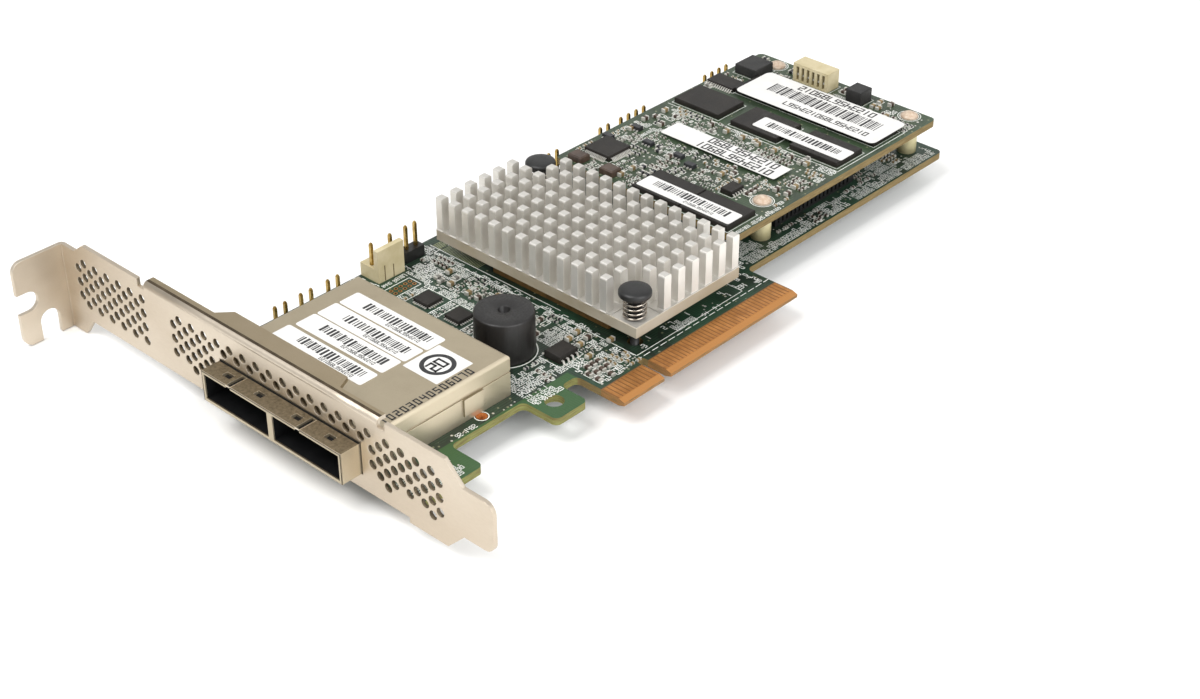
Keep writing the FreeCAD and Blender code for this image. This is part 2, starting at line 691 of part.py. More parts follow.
rectangle(window, "cage_mid - collar_half - fit", "collar_low - fit",
          "cage_mid + collar_half + fit", "collar_high + fit")
pocket(sheet_metal, window, "steel + 2*reach", reverse=True)
tapped = plane_sketch(sheet_metal, "XY_Plane")
facets(tapped, fix_spots, "fix_thread")
pocket(sheet_metal, tapped, "board_thick + steel + reach")


def vent_holes(start, cells):
    """Six-sided holes through the bracket face from column and row numbers."""
    items = []
    for column, row in cells:
        item = doc.addObject("Part::Prism", "vent")
        item.Polygon = 6
        item.Placement.Rotation = FreeCAD.Rotation(FreeCAD.Vector(0, 1, 0), 90)
        bind(item, "Circumradius", "vent_radius")
        bind(item, "Height", "steel + 2*reach")
        bind(item, "Placement.Base.x", "face_x - reach")
        bind(item, "Placement.Base.y",
             "foot_y + " + start + " - " + str(column) + "*vent_step")
        bind(item, "Placement.Base.z",
             "axis_z + vent_top - " + str(row) + "*vent_rise")
        items.append(item)
    return items


upper_field = [(c, r) for c in range(12) for r in range(7) if (c + r) % 2 == 1]
middle_field = [(c, r) for c in range(8) for r in range(7)
                if (c + r) % 2 == 1 and c + r < 10 and (c, r) not in [(1, 6), (7, 2)]]
middle_field += [(8 + 2 * k, 1) for k in range(11)] + [(9 + 2 * k, 0) for k in range(11)]
lower_field = [(c, r) for c in range(10) for r in range(7)
               if (c + r) % 2 == 0 and (c, r) not in [(0, 0), (0, 6), (4, 6), (6, 6)]]
vents = doc.addObject("Part::Compound", "vents")
vents.Links = (vent_holes("vent_upper", upper_field) + vent_holes("vent_middle", middle_field)
               + vent_holes("vent_lower", lower_field))
io_bracket = doc.addObject("Part::Cut", "io_bracket")
io_bracket.Label = "io_bracket"
io_bracket.Base = sheet_metal
io_bracket.Tool = vents
locate(io_bracket)

screws = []
for x, y in fix_spots:
    screws.append(standing("bracket_screw", x, y, [
        ("fix_radius", "-1*board_thick - steel - fix_end", "board_thick + steel + fix_end"),
        ("fix_head", "0", "fix_tall")], [("fix_tall", "fix_bevel")]))
bracket_screws = together("bracket_screws", screws)

# --- shielded twin port cage ----------------------------------------------------------------
sas_cage = body("sas_cage")
shell = plane_sketch(sas_cage, "XY_Plane")
rectangle(shell, "face_x + steel", "cage_mid - cage_half",
          "face_x + steel + cage_long", "cage_mid + cage_half")
pad(sas_cage, shell, "cage_tall")
rounded = []
for index, edge in enumerate(sas_cage.Tip.Shape.Edges):
    box = edge.BoundBox
    if abs(box.ZMin - value("cage_tall")) < 0.01 and box.XMax > value("face_x + steel") + 1:
        rounded.append("Edge" + str(index + 1))
dress(sas_cage, "Fillet", rounded, "cage_edge")
clip = plane_sketch(sas_cage, "XZ_Plane", "cage_half - cage_mid")
rectangle(clip, "face_x + steel + clip_start", "clip_low",
          "face_x + steel + clip_start + clip_long", "groove_z")
pad(sas_cage, clip, "clip_out")
hollow = plane_sketch(sas_cage, "XY_Plane")
rectangle(hollow, "face_x + steel + cage_sheet", "cage_mid - cage_half + cage_sheet",
          "face_x + steel + cage_long - cage_sheet", "cage_mid + cage_half - cage_sheet")
pocket(sas_cage, hollow, "cage_tall - cage_sheet", reverse=True)
seam = plane_sketch(sas_cage, "XZ_Plane", "cage_half - cage_mid - groove_deep")
rectangle(seam, "face_x + steel + groove_start", "groove_z",
          "face_x + steel + cage_long + reach", "groove_z + groove_tall")
pocket(sas_cage, seam, "reach", reverse=True)
collar = plane_sketch(sas_cage, "YZ_Plane", "face_x - collar_out")
rectangle(collar, "cage_mid - collar_half", "collar_low",
          "cage_mid + collar_half", "collar_high")
pad(sas_cage, collar, "collar_out + steel + cage_sheet")
ports = plane_sketch(sas_cage, "YZ_Plane", "face_x - collar_out")
for side in ("- port_mid", "+ port_mid"):
    rectangle(ports, "cage_mid " + side + " - port_half", "collar_low + collar_wall",
              "cage_mid " + side + " + port_half", "collar_high - collar_wall")
pocket(sas_cage, ports, "collar_out + steel + 2*cage_sheet", reverse=True)
latches = plane_sketch(sas_cage, "XY_Plane", "collar_high + reach")
for side in ("- port_mid", "+ port_mid"):
    for turn in ("- latch_half", "+ latch_half"):
        middle = "cage_mid " + side + " " + turn
        rectangle(latches, "face_x - 0.5*collar_out - 0.5*latch_long",
                  middle + " - 0.5*latch_wide",
                  "face_x - 0.5*collar_out + 0.5*latch_long", middle + " + 0.5*latch_wide")
    slit = "cage_mid " + side + " + slit_off"
    rectangle(latches, "face_x - collar_out - reach", slit + " - 0.5*slit_wide",
              "face_x - 0.5", slit + " + 0.5*slit_wide")
pocket(sas_cage, latches, "reach + 1.5*collar_wall")
locate(sas_cage)


def receptacle(name, side):
    """Moulded connector body whose nose and card entry face one port."""
    item = body(name)
    middle = "cage_mid " + side
    core = plane_sketch(item, "XY_Plane")
    rectangle(core, "face_x + steel + core_start", middle + " - core_half",
              "face_x + steel + core_start + core_long", middle + " + core_half")
    pad(item, core, "core_tall")
    nose = plane_sketch(item, "YZ_Plane", "face_x + steel + nose_start")
    rectangle(nose, middle + " - nose_half", "nose_mid - 0.5*nose_tall",
              middle + " + nose_half", "nose_mid + 0.5*nose_tall")
    pad(item, nose, "core_start - nose_start + reach")
    entry = plane_sketch(item, "YZ_Plane", "face_x + steel + nose_start")
    rectangle(entry, middle + " - entry_half", "nose_mid - 0.5*entry_tall",
              middle + " + entry_half", "nose_mid + 0.5*entry_tall")
    pocket(item, entry, "entry_deep", reverse=True)
    locate(item)
    return item


sas_housing_1 = receptacle("sas_housing_1", "+ port_mid")
sas_housing_2 = receptacle("sas_housing_2", "- port_mid")
strips = []
for side in ("+ port_mid", "- port_mid"):
    for k in range(13):
        for level in ("nose_mid + 0.5*entry_tall - strip_thick", "nose_mid - 0.5*entry_tall"):
            strips.append(block(
                "strip", "face_x + steel + nose_start + entry_deep - strip_long",
                "cage_mid " + side + " + " + str(k - 6) + "*strip_pitch - 0.5*strip_wide",
                level, "strip_long", "strip_wide", "strip_thick"))
sas_contacts = together("sas_contacts", strips)


# --- processor stack and heat sink ------------------------------------------------------------
def slab(name, x, y, z, length, width, height):
    """Plain plate centred at x and y."""
    item = body(name)
    outline = plane_sketch(item, "XY_Plane")
    rectangle(outline, "-0.5*" + length, "-0.5*" + width, "0.5*" + length, "0.5*" + width)
    pad(item, outline, height)
    locate(item, x, y, z)
    return item


processor_substrate = slab("processor_substrate", "chip_x", "chip_y", "0",
                           "chip_long", "chip_wide", "chip_thick")
processor_lid = slab("processor_lid", "chip_x", "chip_y", "chip_thick",
                     "lid_size", "lid_size", "lid_thick")
thermal_pad = slab("thermal_pad", "chip_x", "chip_y", "chip_thick + lid_thick",
                   "lid_size", "lid_size", "paste_thick")

heatsink = body("heatsink")
SINK_FLOOR = "chip_thick + lid_thick + paste_thick"
base = plane_sketch(heatsink, "XY_Plane")
rectangle(base, "-0.5*sink_long", "-0.5*sink_wide", "0.5*sink_long", "0.5*sink_wide")
pad(heatsink, base, "sink_base")
fin = plane_sketch(heatsink, "XY_Plane", "sink_base")
rectangle(fin, "-0.5*sink_long + fin_inset_x - 0.5*fin_long",
          "-0.5*sink_wide + fin_inset_y - 0.5*fin_wide",
          "-0.5*sink_long + fin_inset_x + 0.5*fin_long",
          "-0.5*sink_wide + fin_inset_y + 0.5*fin_wide")
first_fin = pad(heatsink, fin, "fin_tall")
grid = heatsink.newObject("PartDesign::MultiTransform", "fin_grid")
grid.Originals = [first_fin]
rows = []
for role, count, span in (("X_Axis", 8, "sink_long - 2*fin_inset_x"),
                          ("Y_Axis", 15, "sink_wide - 2*fin_inset_y")):
    row = heatsink.newObject("PartDesign::LinearPattern", "fin_row_" + role[0])
    axis = [f for f in heatsink.Origin.OriginFeatures if f.Role == role][0]
    row.Direction = (axis, [""])
    row.Occurrences = count
    bind(row, "Length", span)
    rows.append(row)
grid.Transformations = rows
heatsink.Tip = grid
fin.Visibility = False
doc.recompute()
# Two by two fins are left out at each push pin.
bays = plane_sketch(heatsink, "XY_Plane", "sink_base")
rectangle(bays, "-0.5*sink_long - reach", "-0.5*sink_wide - reach",
          "-0.5*sink_long + bay_long", "-0.5*sink_wide + bay_wide")
rectangle(bays, "0.5*sink_long - bay_long", "0.5*sink_wide - bay_wide",
          "0.5*sink_long + reach", "0.5*sink_wide + reach")
pocket(heatsink, bays, "fin_tall + reach", reverse=True)
bores = plane_sketch(heatsink, "XY_Plane")
facets(bores, [(x + " - sink_x", y + " - sink_y") for x, y in pin_spots], "pin_hole")
pocket(heatsink, bores)
locate(heatsink, "sink_x", "sink_y", SINK_FLOOR)

SINK_TOP = SINK_FLOOR + " + sink_base"
pegs = []
coils = []
for x, y in pin_spots:
    pegs.append(standing("push_pin", x, y, [
        ("pin_shaft", "-1*pin_tip", "pin_tip + pin_top"),
        ("pin_barb", "-1*pin_tip", "pin_tip - board_thick - 2*fit"),
        ("pin_head", "pin_top - pin_brim", "pin_brim")],
        [("-1*pin_tip", "pin_cone"), ("pin_top", "pin_crown")]))
    # Coil spring of three-sided wire swept along a helix around the shaft.
    spring = body("push_pin_spring")
    wire = plane_sketch(spring, "XZ_Plane")
    polygon(wire, [("coil_radius - coil_wire", SINK_TOP + " + coil_gap"),
                   ("coil_radius + coil_wire", SINK_TOP + " + coil_gap + coil_wire"),
                   ("coil_radius - coil_wire", SINK_TOP + " + coil_gap + 2*coil_wire")])
    coil = spring.newObject("PartDesign::AdditiveHelix", "spring_coil")
    coil.Profile = wire
    axis = [f for f in spring.Origin.OriginFeatures if f.Role == "Z_Axis"][0]
    coil.ReferenceAxis = (axis, [""])
    coil.Mode = 2
    wire.Visibility = False
    height = "pin_top - pin_brim - " + SINK_TOP.replace("+", "-") + " - 2*coil_gap - 2*coil_wire"
    bind(coil, "Height", height)
    bind(coil, "Turns", "coil_turns")
    doc.recompute()
    bind(spring, "Placement.Base.x", x)
    bind(spring, "Placement.Base.y", y)
    coils.append(spring)
push_pins = together("push_pins", pegs)
push_pin_springs = together("push_pin_springs", coils)

# --- buzzer -----------------------------------------------------------------------------------
buzzer = body("buzzer")
profile = plane_sketch(buzzer, "XZ_Plane")
polygon(profile, [
    ("0", "0"), ("buzzer_radius", "0"), ("buzzer_radius", "buzzer_tall - buzzer_edge"),
    ("buzzer_radius - buzzer_edge", "buzzer_tall"), ("buzzer_hole", "buzzer_tall"),
    ("buzzer_hole", "buzzer_tall - buzzer_deep"), ("0", "buzzer_tall - buzzer_deep")])
case = buzzer.newObject("PartDesign::Revolution", "buzzer_case")
case.Profile = profile
case.ReferenceAxis = ([f for f in buzzer.Origin.OriginFeatures if f.Role == "Z_Axis"][0], [""])
case.Angle = 360
profile.Visibility = False
locate(buzzer, "buzzer_x", "buzzer_y")


# --- pin headers --------------------------------------------------------------------------------
def header_base(name, first, count):
    """Black base strip with one square hole for each pin."""
    item = body(name)
    outline = plane_sketch(item, "XY_Plane")
    last = first + " + " + str(count - 1) + "*pin_pitch"
    rectangle(outline, first + " - base_half", "header_y - base_half",
              last + " + base_half", "header_y + base_half")
    for k in range(count):
        middle = first + " + " + str(k) + "*pin_pitch"
        rectangle(outline, middle + " - pin_half - pin_room", "header_y - pin_half - pin_room",
                  middle + " + pin_half + pin_room", "header_y + pin_half + pin_room")
    pad(item, outline, "base_tall")
    return item


def header_pins(first, places, tall):
    """Square pins standing on the board at the given places of a row."""
    items = []
    for k in places:
        items.append(block("pin", first + " + " + str(k) + "*pin_pitch - pin_half",
                           "header_y - pin_half", "0", "2*pin_half", "2*pin_half", tall))
    return items


HEADERS = [
    ("rear_headers", [("rear_one", 2), ("rear_two", 2), ("rear_three", 4), ("rear_four", 4)],
     "tall_pin"),
    ("jumper_header", [("jump_x", 2)], "tall_pin"),
]
for name, rows, tall in HEADERS:
    bases = []
    pins = []
    for first, count in rows:
        bases.append(header_base(name + "_base", first, count))
        pins += header_pins(first, range(count), tall)
    together(name, bases)
    together(name + "_pins", pins)

LAMP_PINS = [pin for first in ("lamp_one", "lamp_two", "lamp_three")
             for pin in header_pins(first, (0, 1), "lamp_tall")]
led_headers_pins = together("led_headers_pins", LAMP_PINS)

fan_header = body("fan_header")
foot = plane_sketch(fan_header, "XY_Plane")
FAN_MID = "fan_x + pin_pitch"
rectangle(foot, FAN_MID + " - fan_half", "fan_front", FAN_MID + " + fan_half",
          "fan_front + fan_deep")
for k in (0, 2):
    middle = "fan_x + " + str(k) + "*pin_pitch"
    rectangle(foot, middle + " - pin_half - pin_room", "header_y - pin_half - pin_room",
              middle + " + pin_half + pin_room", "header_y + pin_half + pin_room")
pad(fan_header, foot, "fan_base")
wall = plane_sketch(fan_header, "XY_Plane")
rectangle(wall, FAN_MID + " - fan_half", "fan_front", FAN_MID + " + fan_half",
          "fan_front + fan_wall")
pad(fan_header, wall, "fan_tall")
locate(fan_header)
fan_header_pins = together("fan_header_pins", header_pins("fan_x", (0, 2), "tall_pin"))

# --- small packages on the main board -----------------------------------------------------------
package("voltage_regulator_1", "flat_x", "flat_back", "0", "flat_size", "flat_size", "flat_tall")
package("voltage_regulator_2", "flat_x", "flat_front", "0", "flat_size", "flat_size", "flat_tall")
package("boot_memory", "boot_x", "boot_y", "0", "boot_long", "boot_wide", "boot_tall")

# --- memory board on its standoffs ----------------------------------------------------------------
memory_board = body("memory_board")
deck = plane_sketch(memory_board, "XY_Plane", "deck_z")
rectangle(deck, "deck_left", "deck_front", "deck_right", "deck_back")
pad(memory_board, deck, "board_thick")
deck_corners = upright_edges(memory_board.Tip.Shape, [
    ("deck_left", "deck_front"), ("deck_left", "deck_back"),
    ("deck_right", "deck_front"), ("deck_right", "deck_back")])
dress(memory_board, "Fillet", deck_corners, "corner_radius")
deck_holes = plane_sketch(memory_board, "XY_Plane", "deck_z")
facets(deck_holes, post_spots, "post_hole")
pocket(memory_board, deck_holes)
locate(memory_board)

DECK_TOP = "deck_z + board_thick"
posts = []
for x, y in post_spots:
    posts.append(standing("standoff", x, y, [
        ("post_neck", "-1*post_tip", "post_tip + " + DECK_TOP + " + dome_tall"),
        ("post_barb", "-1*post_tip", "post_tip - board_thick - fit"),
        ("post_radius", "0", "deck_z"), ("post_dome", DECK_TOP, "dome_tall")],
        [("-1*post_tip", "post_cone"), (DECK_TOP + " + dome_tall", "post_crown")]))
standoffs = together("standoffs", posts)

MEMORY = [("ram_near_x", "ram_row_one"), ("ram_near_x", "ram_row_two"),
          ("ram_mid_x", "ram_row_one"), ("ram_mid_x", "ram_mid_two"),
          ("ram_mid_x", "ram_mid_three"), ("ram_far_x", "ram_row_one"),
          ("ram_far_x", "ram_row_two"), ("ram_far_x", "ram_row_three")]
for number, (x, y) in enumerate(MEMORY):
    package("memory_chip_" + str(number + 1), x, y, DECK_TOP, "ram_long", "ram_wide", "ram_tall")
package("flash_controller", "quad_x", "quad_y", DECK_TOP, "quad_size", "quad_size", "quad_tall")
package("bus_switch", "thin_x", "thin_y", DECK_TOP, "thin_long", "thin_wide", "flat_tall")
package("logic_gate", "gate_x", "gate_y", DECK_TOP, "gate_long", "gate_wide", "quad_tall")
package("power_inductor_1", "coil_one_x", "coil_one_y", DECK_TOP,
        "coil_one_long", "coil_one_wide", "coil_one_tall")
package("power_inductor_2", "coil_two_x", "coil_two_y", DECK_TOP,
        "coil_two_size", "coil_two_size", "coil_two_tall")

backup_power_connector = body("backup_power_connector")
cell = plane_sketch(backup_power_connector, "XY_Plane")
rectangle(cell, "-0.5*cell_long", "-0.5*cell_wide", "0.5*cell_long", "0.5*cell_wide")
pad(backup_power_connector, cell, "cell_tall")
cuts = plane_sketch(backup_power_connector, "YZ_Plane", "-0.5*cell_long - reach")
for k in range(6):
    middle = str(k - 2.5) + "*cell_pitch"
    rectangle(cuts, middle + " - 0.5*cell_slot", "0.1*cell_tall",
              middle + " + 0.5*cell_slot", "0.85*cell_tall")
pocket(backup_power_connector, cuts, "cell_deep + reach", reverse=True)
locate(backup_power_connector, "cell_x", "cell_y", DECK_TOP)
blades = []
for k in range(6):
    blades.append(block(
        "blade", "cell_x - 0.5*cell_long + 0.3",
        "cell_y + " + str(k - 2.5) + "*cell_pitch - 0.5*cell_pin",
        DECK_TOP + " + 0.4*cell_tall - 0.5*cell_pin", "cell_deep - 0.3", "cell_pin", "cell_pin"))
backup_power_pins = together("backup_power_pins", blades)

# --- board to board connector -----------------------------------------------------------------------
mezzanine_socket = body("mezzanine_socket")
lower = plane_sketch(mezzanine_socket, "XY_Plane")
rectangle(lower, "0", "0", "link_long", "link_wide")
pad(mezzanine_socket, lower, "link_split")
ribs = plane_sketch(mezzanine_socket, "XY_Plane", "link_split")
for k in range(18):
    start = "link_rib + " + str(2 * k) + "*link_rib"
    rectangle(ribs, start, "-1*reach", start + " + link_rib", "link_groove")
pocket(mezzanine_socket, ribs, "link_split - 0.5")
locate(mezzanine_socket, "link_x", "link_y")
mezzanine_plug = body("mezzanine_plug")
upper = plane_sketch(mezzanine_plug, "XY_Plane")
rectangle(upper, "0", "0", "link_long", "link_wide")
pad(mezzanine_plug, upper, "deck_z - link_split")
locate(mezzanine_plug, "link_x", "link_y", "link_split")

# --- capacitors: small ceramic blocks on both boards --------------------------------------------------
MAIN_CAPACITORS = [
    (-4.2, 21.5), (-4.2, 18.6), (-1.4, 22.0), (-1.4, 19.2), (1.0, 15.4), (-6.0, 14.6),
    (-22.6, 44.5), (-22.6, 47.5), (-19.6, 40.2), (-19.6, 56.8), (-22.4, 51.2), (-5.6, 44.8),
    (-5.6, 47.6), (-5.6, 52.6), (-2.6, 39.2), (-2.6, 42.4), (-2.6, 56.2), (-9.6, 35.8),
    (34.2, 18.0), (34.2, 22.4), (34.2, 41.0), (34.2, 52.0), (-18.6, 60.4), (-2.6, 33.4),
]
DECK_CAPACITORS = [
    (56.6, 19.8), (56.8, 17.0), (60.2, 17.6), (69.6, 22.0), (69.6, 26.4), (69.6, 30.8),
    (69.6, 35.2), (69.6, 39.6), (69.6, 44.0), (69.6, 48.4), (54.0, 28.0), (54.0, 32.4),
    (52.4, 45.6), (56.6, 60.2), (62.0, 61.0), (68.0, 60.4), (97.6, 37.4), (97.6, 26.6),
    (98.8, 22.6), (104.2, 25.2), (98.0, 51.8), (62.4, 56.6), (39.6, 47.8), (43.2, 47.8),
]


def capacitors(name, spots, level):
    items = []
    for x, y in spots:
        items.append(block("capacitor", str(x) + " - 0.5*cap_long", str(y) + " - 0.5*cap_wide",
                           level, "cap_long", "cap_wide", "cap_tall"))
    return together(name, items)


capacitors("main_board_capacitors", MAIN_CAPACITORS, "0")
capacitors("memory_board_capacitors", DECK_CAPACITORS, DECK_TOP)

doc.recompute()

os.makedirs("parts", exist_ok=True)
for item in doc.Objects:
    if "Invalid" in item.State or "Error" in item.State:
        raise RuntimeError(item.Label + " did not compute")

members = []
for item in doc.Objects:
    if item.TypeId == "Part::Compound":
        members += item.Links
    if item.TypeId == "Part::Cut":
        members += [item.Base, item.Tool]
for item in doc.Objects:
    if item.TypeId not in ("PartDesign::Body", "Part::Compound", "Part::Cut") or item in members:
        continue
    shape = item.Shape
    if shape.isNull() or not shape.isValid():
        raise RuntimeError(item.Label + " has no sound shape")
    shape.exportStep(os.path.join("parts", item.Label + ".step"))
    print(item.Label, len(shape.Solids), round(shape.Volume, 2))
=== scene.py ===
import math
import random
import bmesh
import bpy
import numpy
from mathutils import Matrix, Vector
from mathutils.geometry import tessellate_polygon


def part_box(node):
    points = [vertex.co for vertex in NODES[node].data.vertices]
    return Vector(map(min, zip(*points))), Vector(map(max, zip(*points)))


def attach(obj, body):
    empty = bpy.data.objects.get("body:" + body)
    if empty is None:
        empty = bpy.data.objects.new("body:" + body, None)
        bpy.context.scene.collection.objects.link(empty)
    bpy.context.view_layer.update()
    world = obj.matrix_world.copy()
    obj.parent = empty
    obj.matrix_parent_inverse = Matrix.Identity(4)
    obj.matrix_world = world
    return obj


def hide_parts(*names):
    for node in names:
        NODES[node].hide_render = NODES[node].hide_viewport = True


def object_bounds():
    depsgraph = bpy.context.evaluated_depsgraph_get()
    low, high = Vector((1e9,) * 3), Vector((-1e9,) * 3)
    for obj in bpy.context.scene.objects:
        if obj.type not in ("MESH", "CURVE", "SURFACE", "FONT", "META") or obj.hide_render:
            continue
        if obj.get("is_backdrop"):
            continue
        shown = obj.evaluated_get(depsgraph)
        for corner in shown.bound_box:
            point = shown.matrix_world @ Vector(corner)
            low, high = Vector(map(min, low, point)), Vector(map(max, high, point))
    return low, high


# Looks of a plug-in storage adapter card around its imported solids. Places are written in
# millimetres of the card frame: x along the card from the connector key, y from the contact
# tips to the rear edge, z up from the component side of the main board.

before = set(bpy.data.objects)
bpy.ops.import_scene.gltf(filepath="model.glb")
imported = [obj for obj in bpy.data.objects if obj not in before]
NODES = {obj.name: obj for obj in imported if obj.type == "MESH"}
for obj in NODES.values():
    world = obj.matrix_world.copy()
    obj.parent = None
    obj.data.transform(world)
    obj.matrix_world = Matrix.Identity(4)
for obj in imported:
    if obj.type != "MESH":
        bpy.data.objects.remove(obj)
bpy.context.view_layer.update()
MM = 0.001
BOARD_END = 107.8  # far end of the main board
BOARD_LOW, BOARD_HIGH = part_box("main_board")
BOARD_THICK = (BOARD_HIGH.z - BOARD_LOW.z) / MM
ORIGIN = Vector((BOARD_HIGH.x - BOARD_END * MM, BOARD_LOW.y, BOARD_HIGH.z))
VIEW_AZIMUTH = -47.3  # the photograph's viewing direction, in degrees
random.seed(7)


def card_box(node):
    """Lowest and highest corner of a node, in millimetres of the card frame."""
    low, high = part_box(node)
    return (low - ORIGIN) / MM, (high - ORIGIN) / MM


def node_middle(node):
    low, high = card_box(node)
    return (low.x + high.x) / 2, (low.y + high.y) / 2


DECK_FLOOR, DECK = (corner.z for corner in card_box("memory_board"))
POST_HALF = 2.15  # radius of a standoff
POST_LOW, POST_HIGH = card_box("standoffs")
POSTS = ((POST_LOW.x + POST_HALF, POST_LOW.y + POST_HALF),
         (POST_HIGH.x - POST_HALF, POST_LOW.y + POST_HALF),
         (POST_HIGH.x - POST_HALF, POST_HIGH.y - POST_HALF))
SINK_BASE = 2.5  # thickness of the heat sink's base
REGULATORS = ("voltage_regulator_1", "voltage_regulator_2")


def colour(code):
    """Linear colour from a six-figure hexadecimal one."""
    parts = [int(code[k:k + 2], 16) / 255 for k in (0, 2, 4)]
    return tuple(c / 12.92 if c < 0.04045 else ((c + 0.055) / 1.055) ** 2.4 for c in parts) + (1.0,)


# --- materials ---
class Nodes:
    """Short way to build one node tree."""

    def __init__(self, name):
        self.material = bpy.data.materials.new(name)
        self.material.use_nodes = True
        self.tree = self.material.node_tree
        self.shader = self.tree.nodes["Principled BSDF"]

    def node(self, kind, values=(), **settings):
        item = self.tree.nodes.new(kind)
        for key, setting in settings.items():
            setattr(item, key, setting)
        for key, entry in dict(values).items():
            self.feed(entry, item.inputs[key])
        return item

    def link(self, source, target):
        self.tree.links.new(source, target)

    def feed(self, entry, target):
        """Links a socket, or sets a plain value."""
        if isinstance(entry, bpy.types.NodeSocket):
            self.link(entry, target)
        else:
            target.default_value = entry

    def paint(self, **inputs):
        """Feeds the shader, with underscores for the spaces in its sockets' names."""
        for key, entry in inputs.items():
            self.feed(entry, self.shader.inputs[key.replace("_", " ")])

    def place(self, stretch=(1.0, 1.0, 1.0)):
        """Object coordinates in millimetres, stretched."""
        spot = self.node("ShaderNodeTexCoord")
        return self.node("ShaderNodeMapping", {
            "Scale": [1000.0 * s for s in stretch], "Vector": spot.outputs["Object"],
        }).outputs["Vector"]

    def split(self, vector):
        return self.node("ShaderNodeSeparateXYZ", {0: vector}).outputs

    def facing(self):
        """Components of the surface's own direction."""
        return self.split(self.node("ShaderNodeNewGeometry").outputs["True Normal"])

    def noise(self, vector, scale, detail=3.0, rough=0.55):
        return self.node("ShaderNodeTexNoise", {
            "Scale": scale, "Detail": detail, "Roughness": rough, "Vector": vector,
        }).outputs["Fac"]

    def ramp(self, source, low, high, start=0.0, end=1.0):
        """Source remapped so that low gives start and high gives end."""
        return self.node("ShaderNodeMapRange", {
            "From Min": low, "From Max": high, "To Min": start, "To Max": end, "Value": source,
        }).outputs["Result"]

    def mix(self, factor, first, second):
        item = self.node("ShaderNodeMix", data_type="RGBA")
        for socket, entry in ((0, factor), (6, first), (7, second)):
            self.feed(entry, item.inputs[socket])
        return item.outputs[2]

    def two_tones(self, factor, first, second):
        """Slow change between two written colours."""
        return self.mix(self.ramp(factor, 0.35, 0.65), colour(first), colour(second))

    def maths(self, operation, first, second=None):
        item = self.node("ShaderNodeMath", {0: first}, operation=operation)
        if second is not None:
            self.feed(second, item.inputs[1])
        return item.outputs[0]

    def both(self, first, second):
        return self.maths("MULTIPLY", first, second)

    def under(self, source, limit):
        return self.maths("LESS_THAN", source, limit)

    def over(self, source, limit):
        return self.maths("GREATER_THAN", source, limit)

    def relief(self, height, strength, distance=0.00003, edge=0.0):
        """Bump from a height, over edges softened by a small radius."""
        bump = self.node("ShaderNodeBump", {
            "Strength": strength, "Distance": distance, "Height": height})
        if edge:
            soft = self.node("ShaderNodeBevel", {"Radius": edge}, samples=4)
            self.link(soft.outputs["Normal"], bump.inputs["Normal"])
        self.paint(Normal=bump.outputs["Normal"])


def surface(name, first, second, scale, rough, metal=0.0, grain=8.0, relief=0.15,
            edge=0.0, stretch=(1.0, 1.0, 1.0), specular=0.5):
    """Moulded, painted or plated finish with a slow change of tone and a fine grain."""
    n = Nodes(name)
    spot = n.place(stretch)
    n.paint(Base_Color=n.two_tones(n.noise(spot, scale), first, second))
    fine = n.noise(spot, grain, 2.0)
    n.paint(Roughness=n.ramp(fine, 0.3, 0.7, *rough))
    n.relief(fine, relief, edge=edge)
    n.paint(Metallic=metal, Specular_IOR_Level=specular)
    return n.material


def printed_board(name, dark, light, trace, tabs=()):
    """Solder mask over copper traces, with bare glass laminate at the sawn edges.

    tabs gives the front edge's limits: near tab, far tab, front edge, contacts, bare tips."""
    n = Nodes(name)
    spot = n.place()
    x, y, _ = n.split(spot)
    choice = n.noise(spot, 0.11, 1.0)
    pieces = []
    for direction, low, high in (("X", 0.53, 0.55), ("Y", 0.47, 0.45)):
        bands = n.node("ShaderNodeTexWave", {"Scale": 0.52, "Distortion": 0.0, "Vector": spot},
                       bands_direction=direction)
        lines = n.ramp(bands.outputs["Fac"], 0.45, 0.62)
        pieces.append(n.both(lines, n.ramp(choice, low, high)))
    traces = n.maths("MAXIMUM", *pieces)
    holes = n.node("ShaderNodeTexVoronoi", {"Scale": 0.6, "Vector": spot})
    via = n.ramp(holes.outputs["Distance"], 0.16, 0.13)
    pool = n.ramp(n.noise(spot, 0.09, 2.0), 0.40, 0.62)
    mask = n.mix(pool, colour(dark), colour(light))
    mask = n.mix(n.both(traces, 0.45), mask, colour(trace))
    mask = n.mix(n.both(via, 0.6), mask, colour("8f8f72"))
    edge = colour("7c6a42")
    if tabs:
        near_tab, far_tab, front, contact, tip = tabs
        mask = n.mix(n.both(n.under(y, front), n.under(x, near_tab)), mask, colour("2f4f2b"))
        inside = n.both(n.over(x, near_tab), n.under(x, far_tab))
        strip = n.both(inside, n.under(y, contact))
        mask = n.mix(strip, mask, colour("7a5128"))
        mask = n.mix(n.both(inside, n.under(y, tip)), mask, colour("9c6a34"))
        edge = n.mix(n.under(x, near_tab), edge, colour("7d8048"))
        edge = n.mix(strip, edge, colour("93683a"))
    sawn = n.under(n.maths("ABSOLUTE", n.facing()["Z"]), 0.5)
    grain = n.noise(n.place((0.3, 0.3, 4.0)), 1.2, 3.0)
    shade = n.mix(n.ramp(grain, 0.35, 0.75), edge, colour("5d4c2a"))
    n.paint(Base_Color=n.mix(sawn, mask, shade), Roughness=n.ramp(sawn, 0.0, 1.0, 0.38, 0.75),
            Specular_IOR_Level=0.4)
    n.relief(traces, 0.25)
    return n.material


def object_place(axis, place):
    """Card-frame place along one axis as an object coordinate in millimetres."""
    return place + ORIGIN[axis] / MM


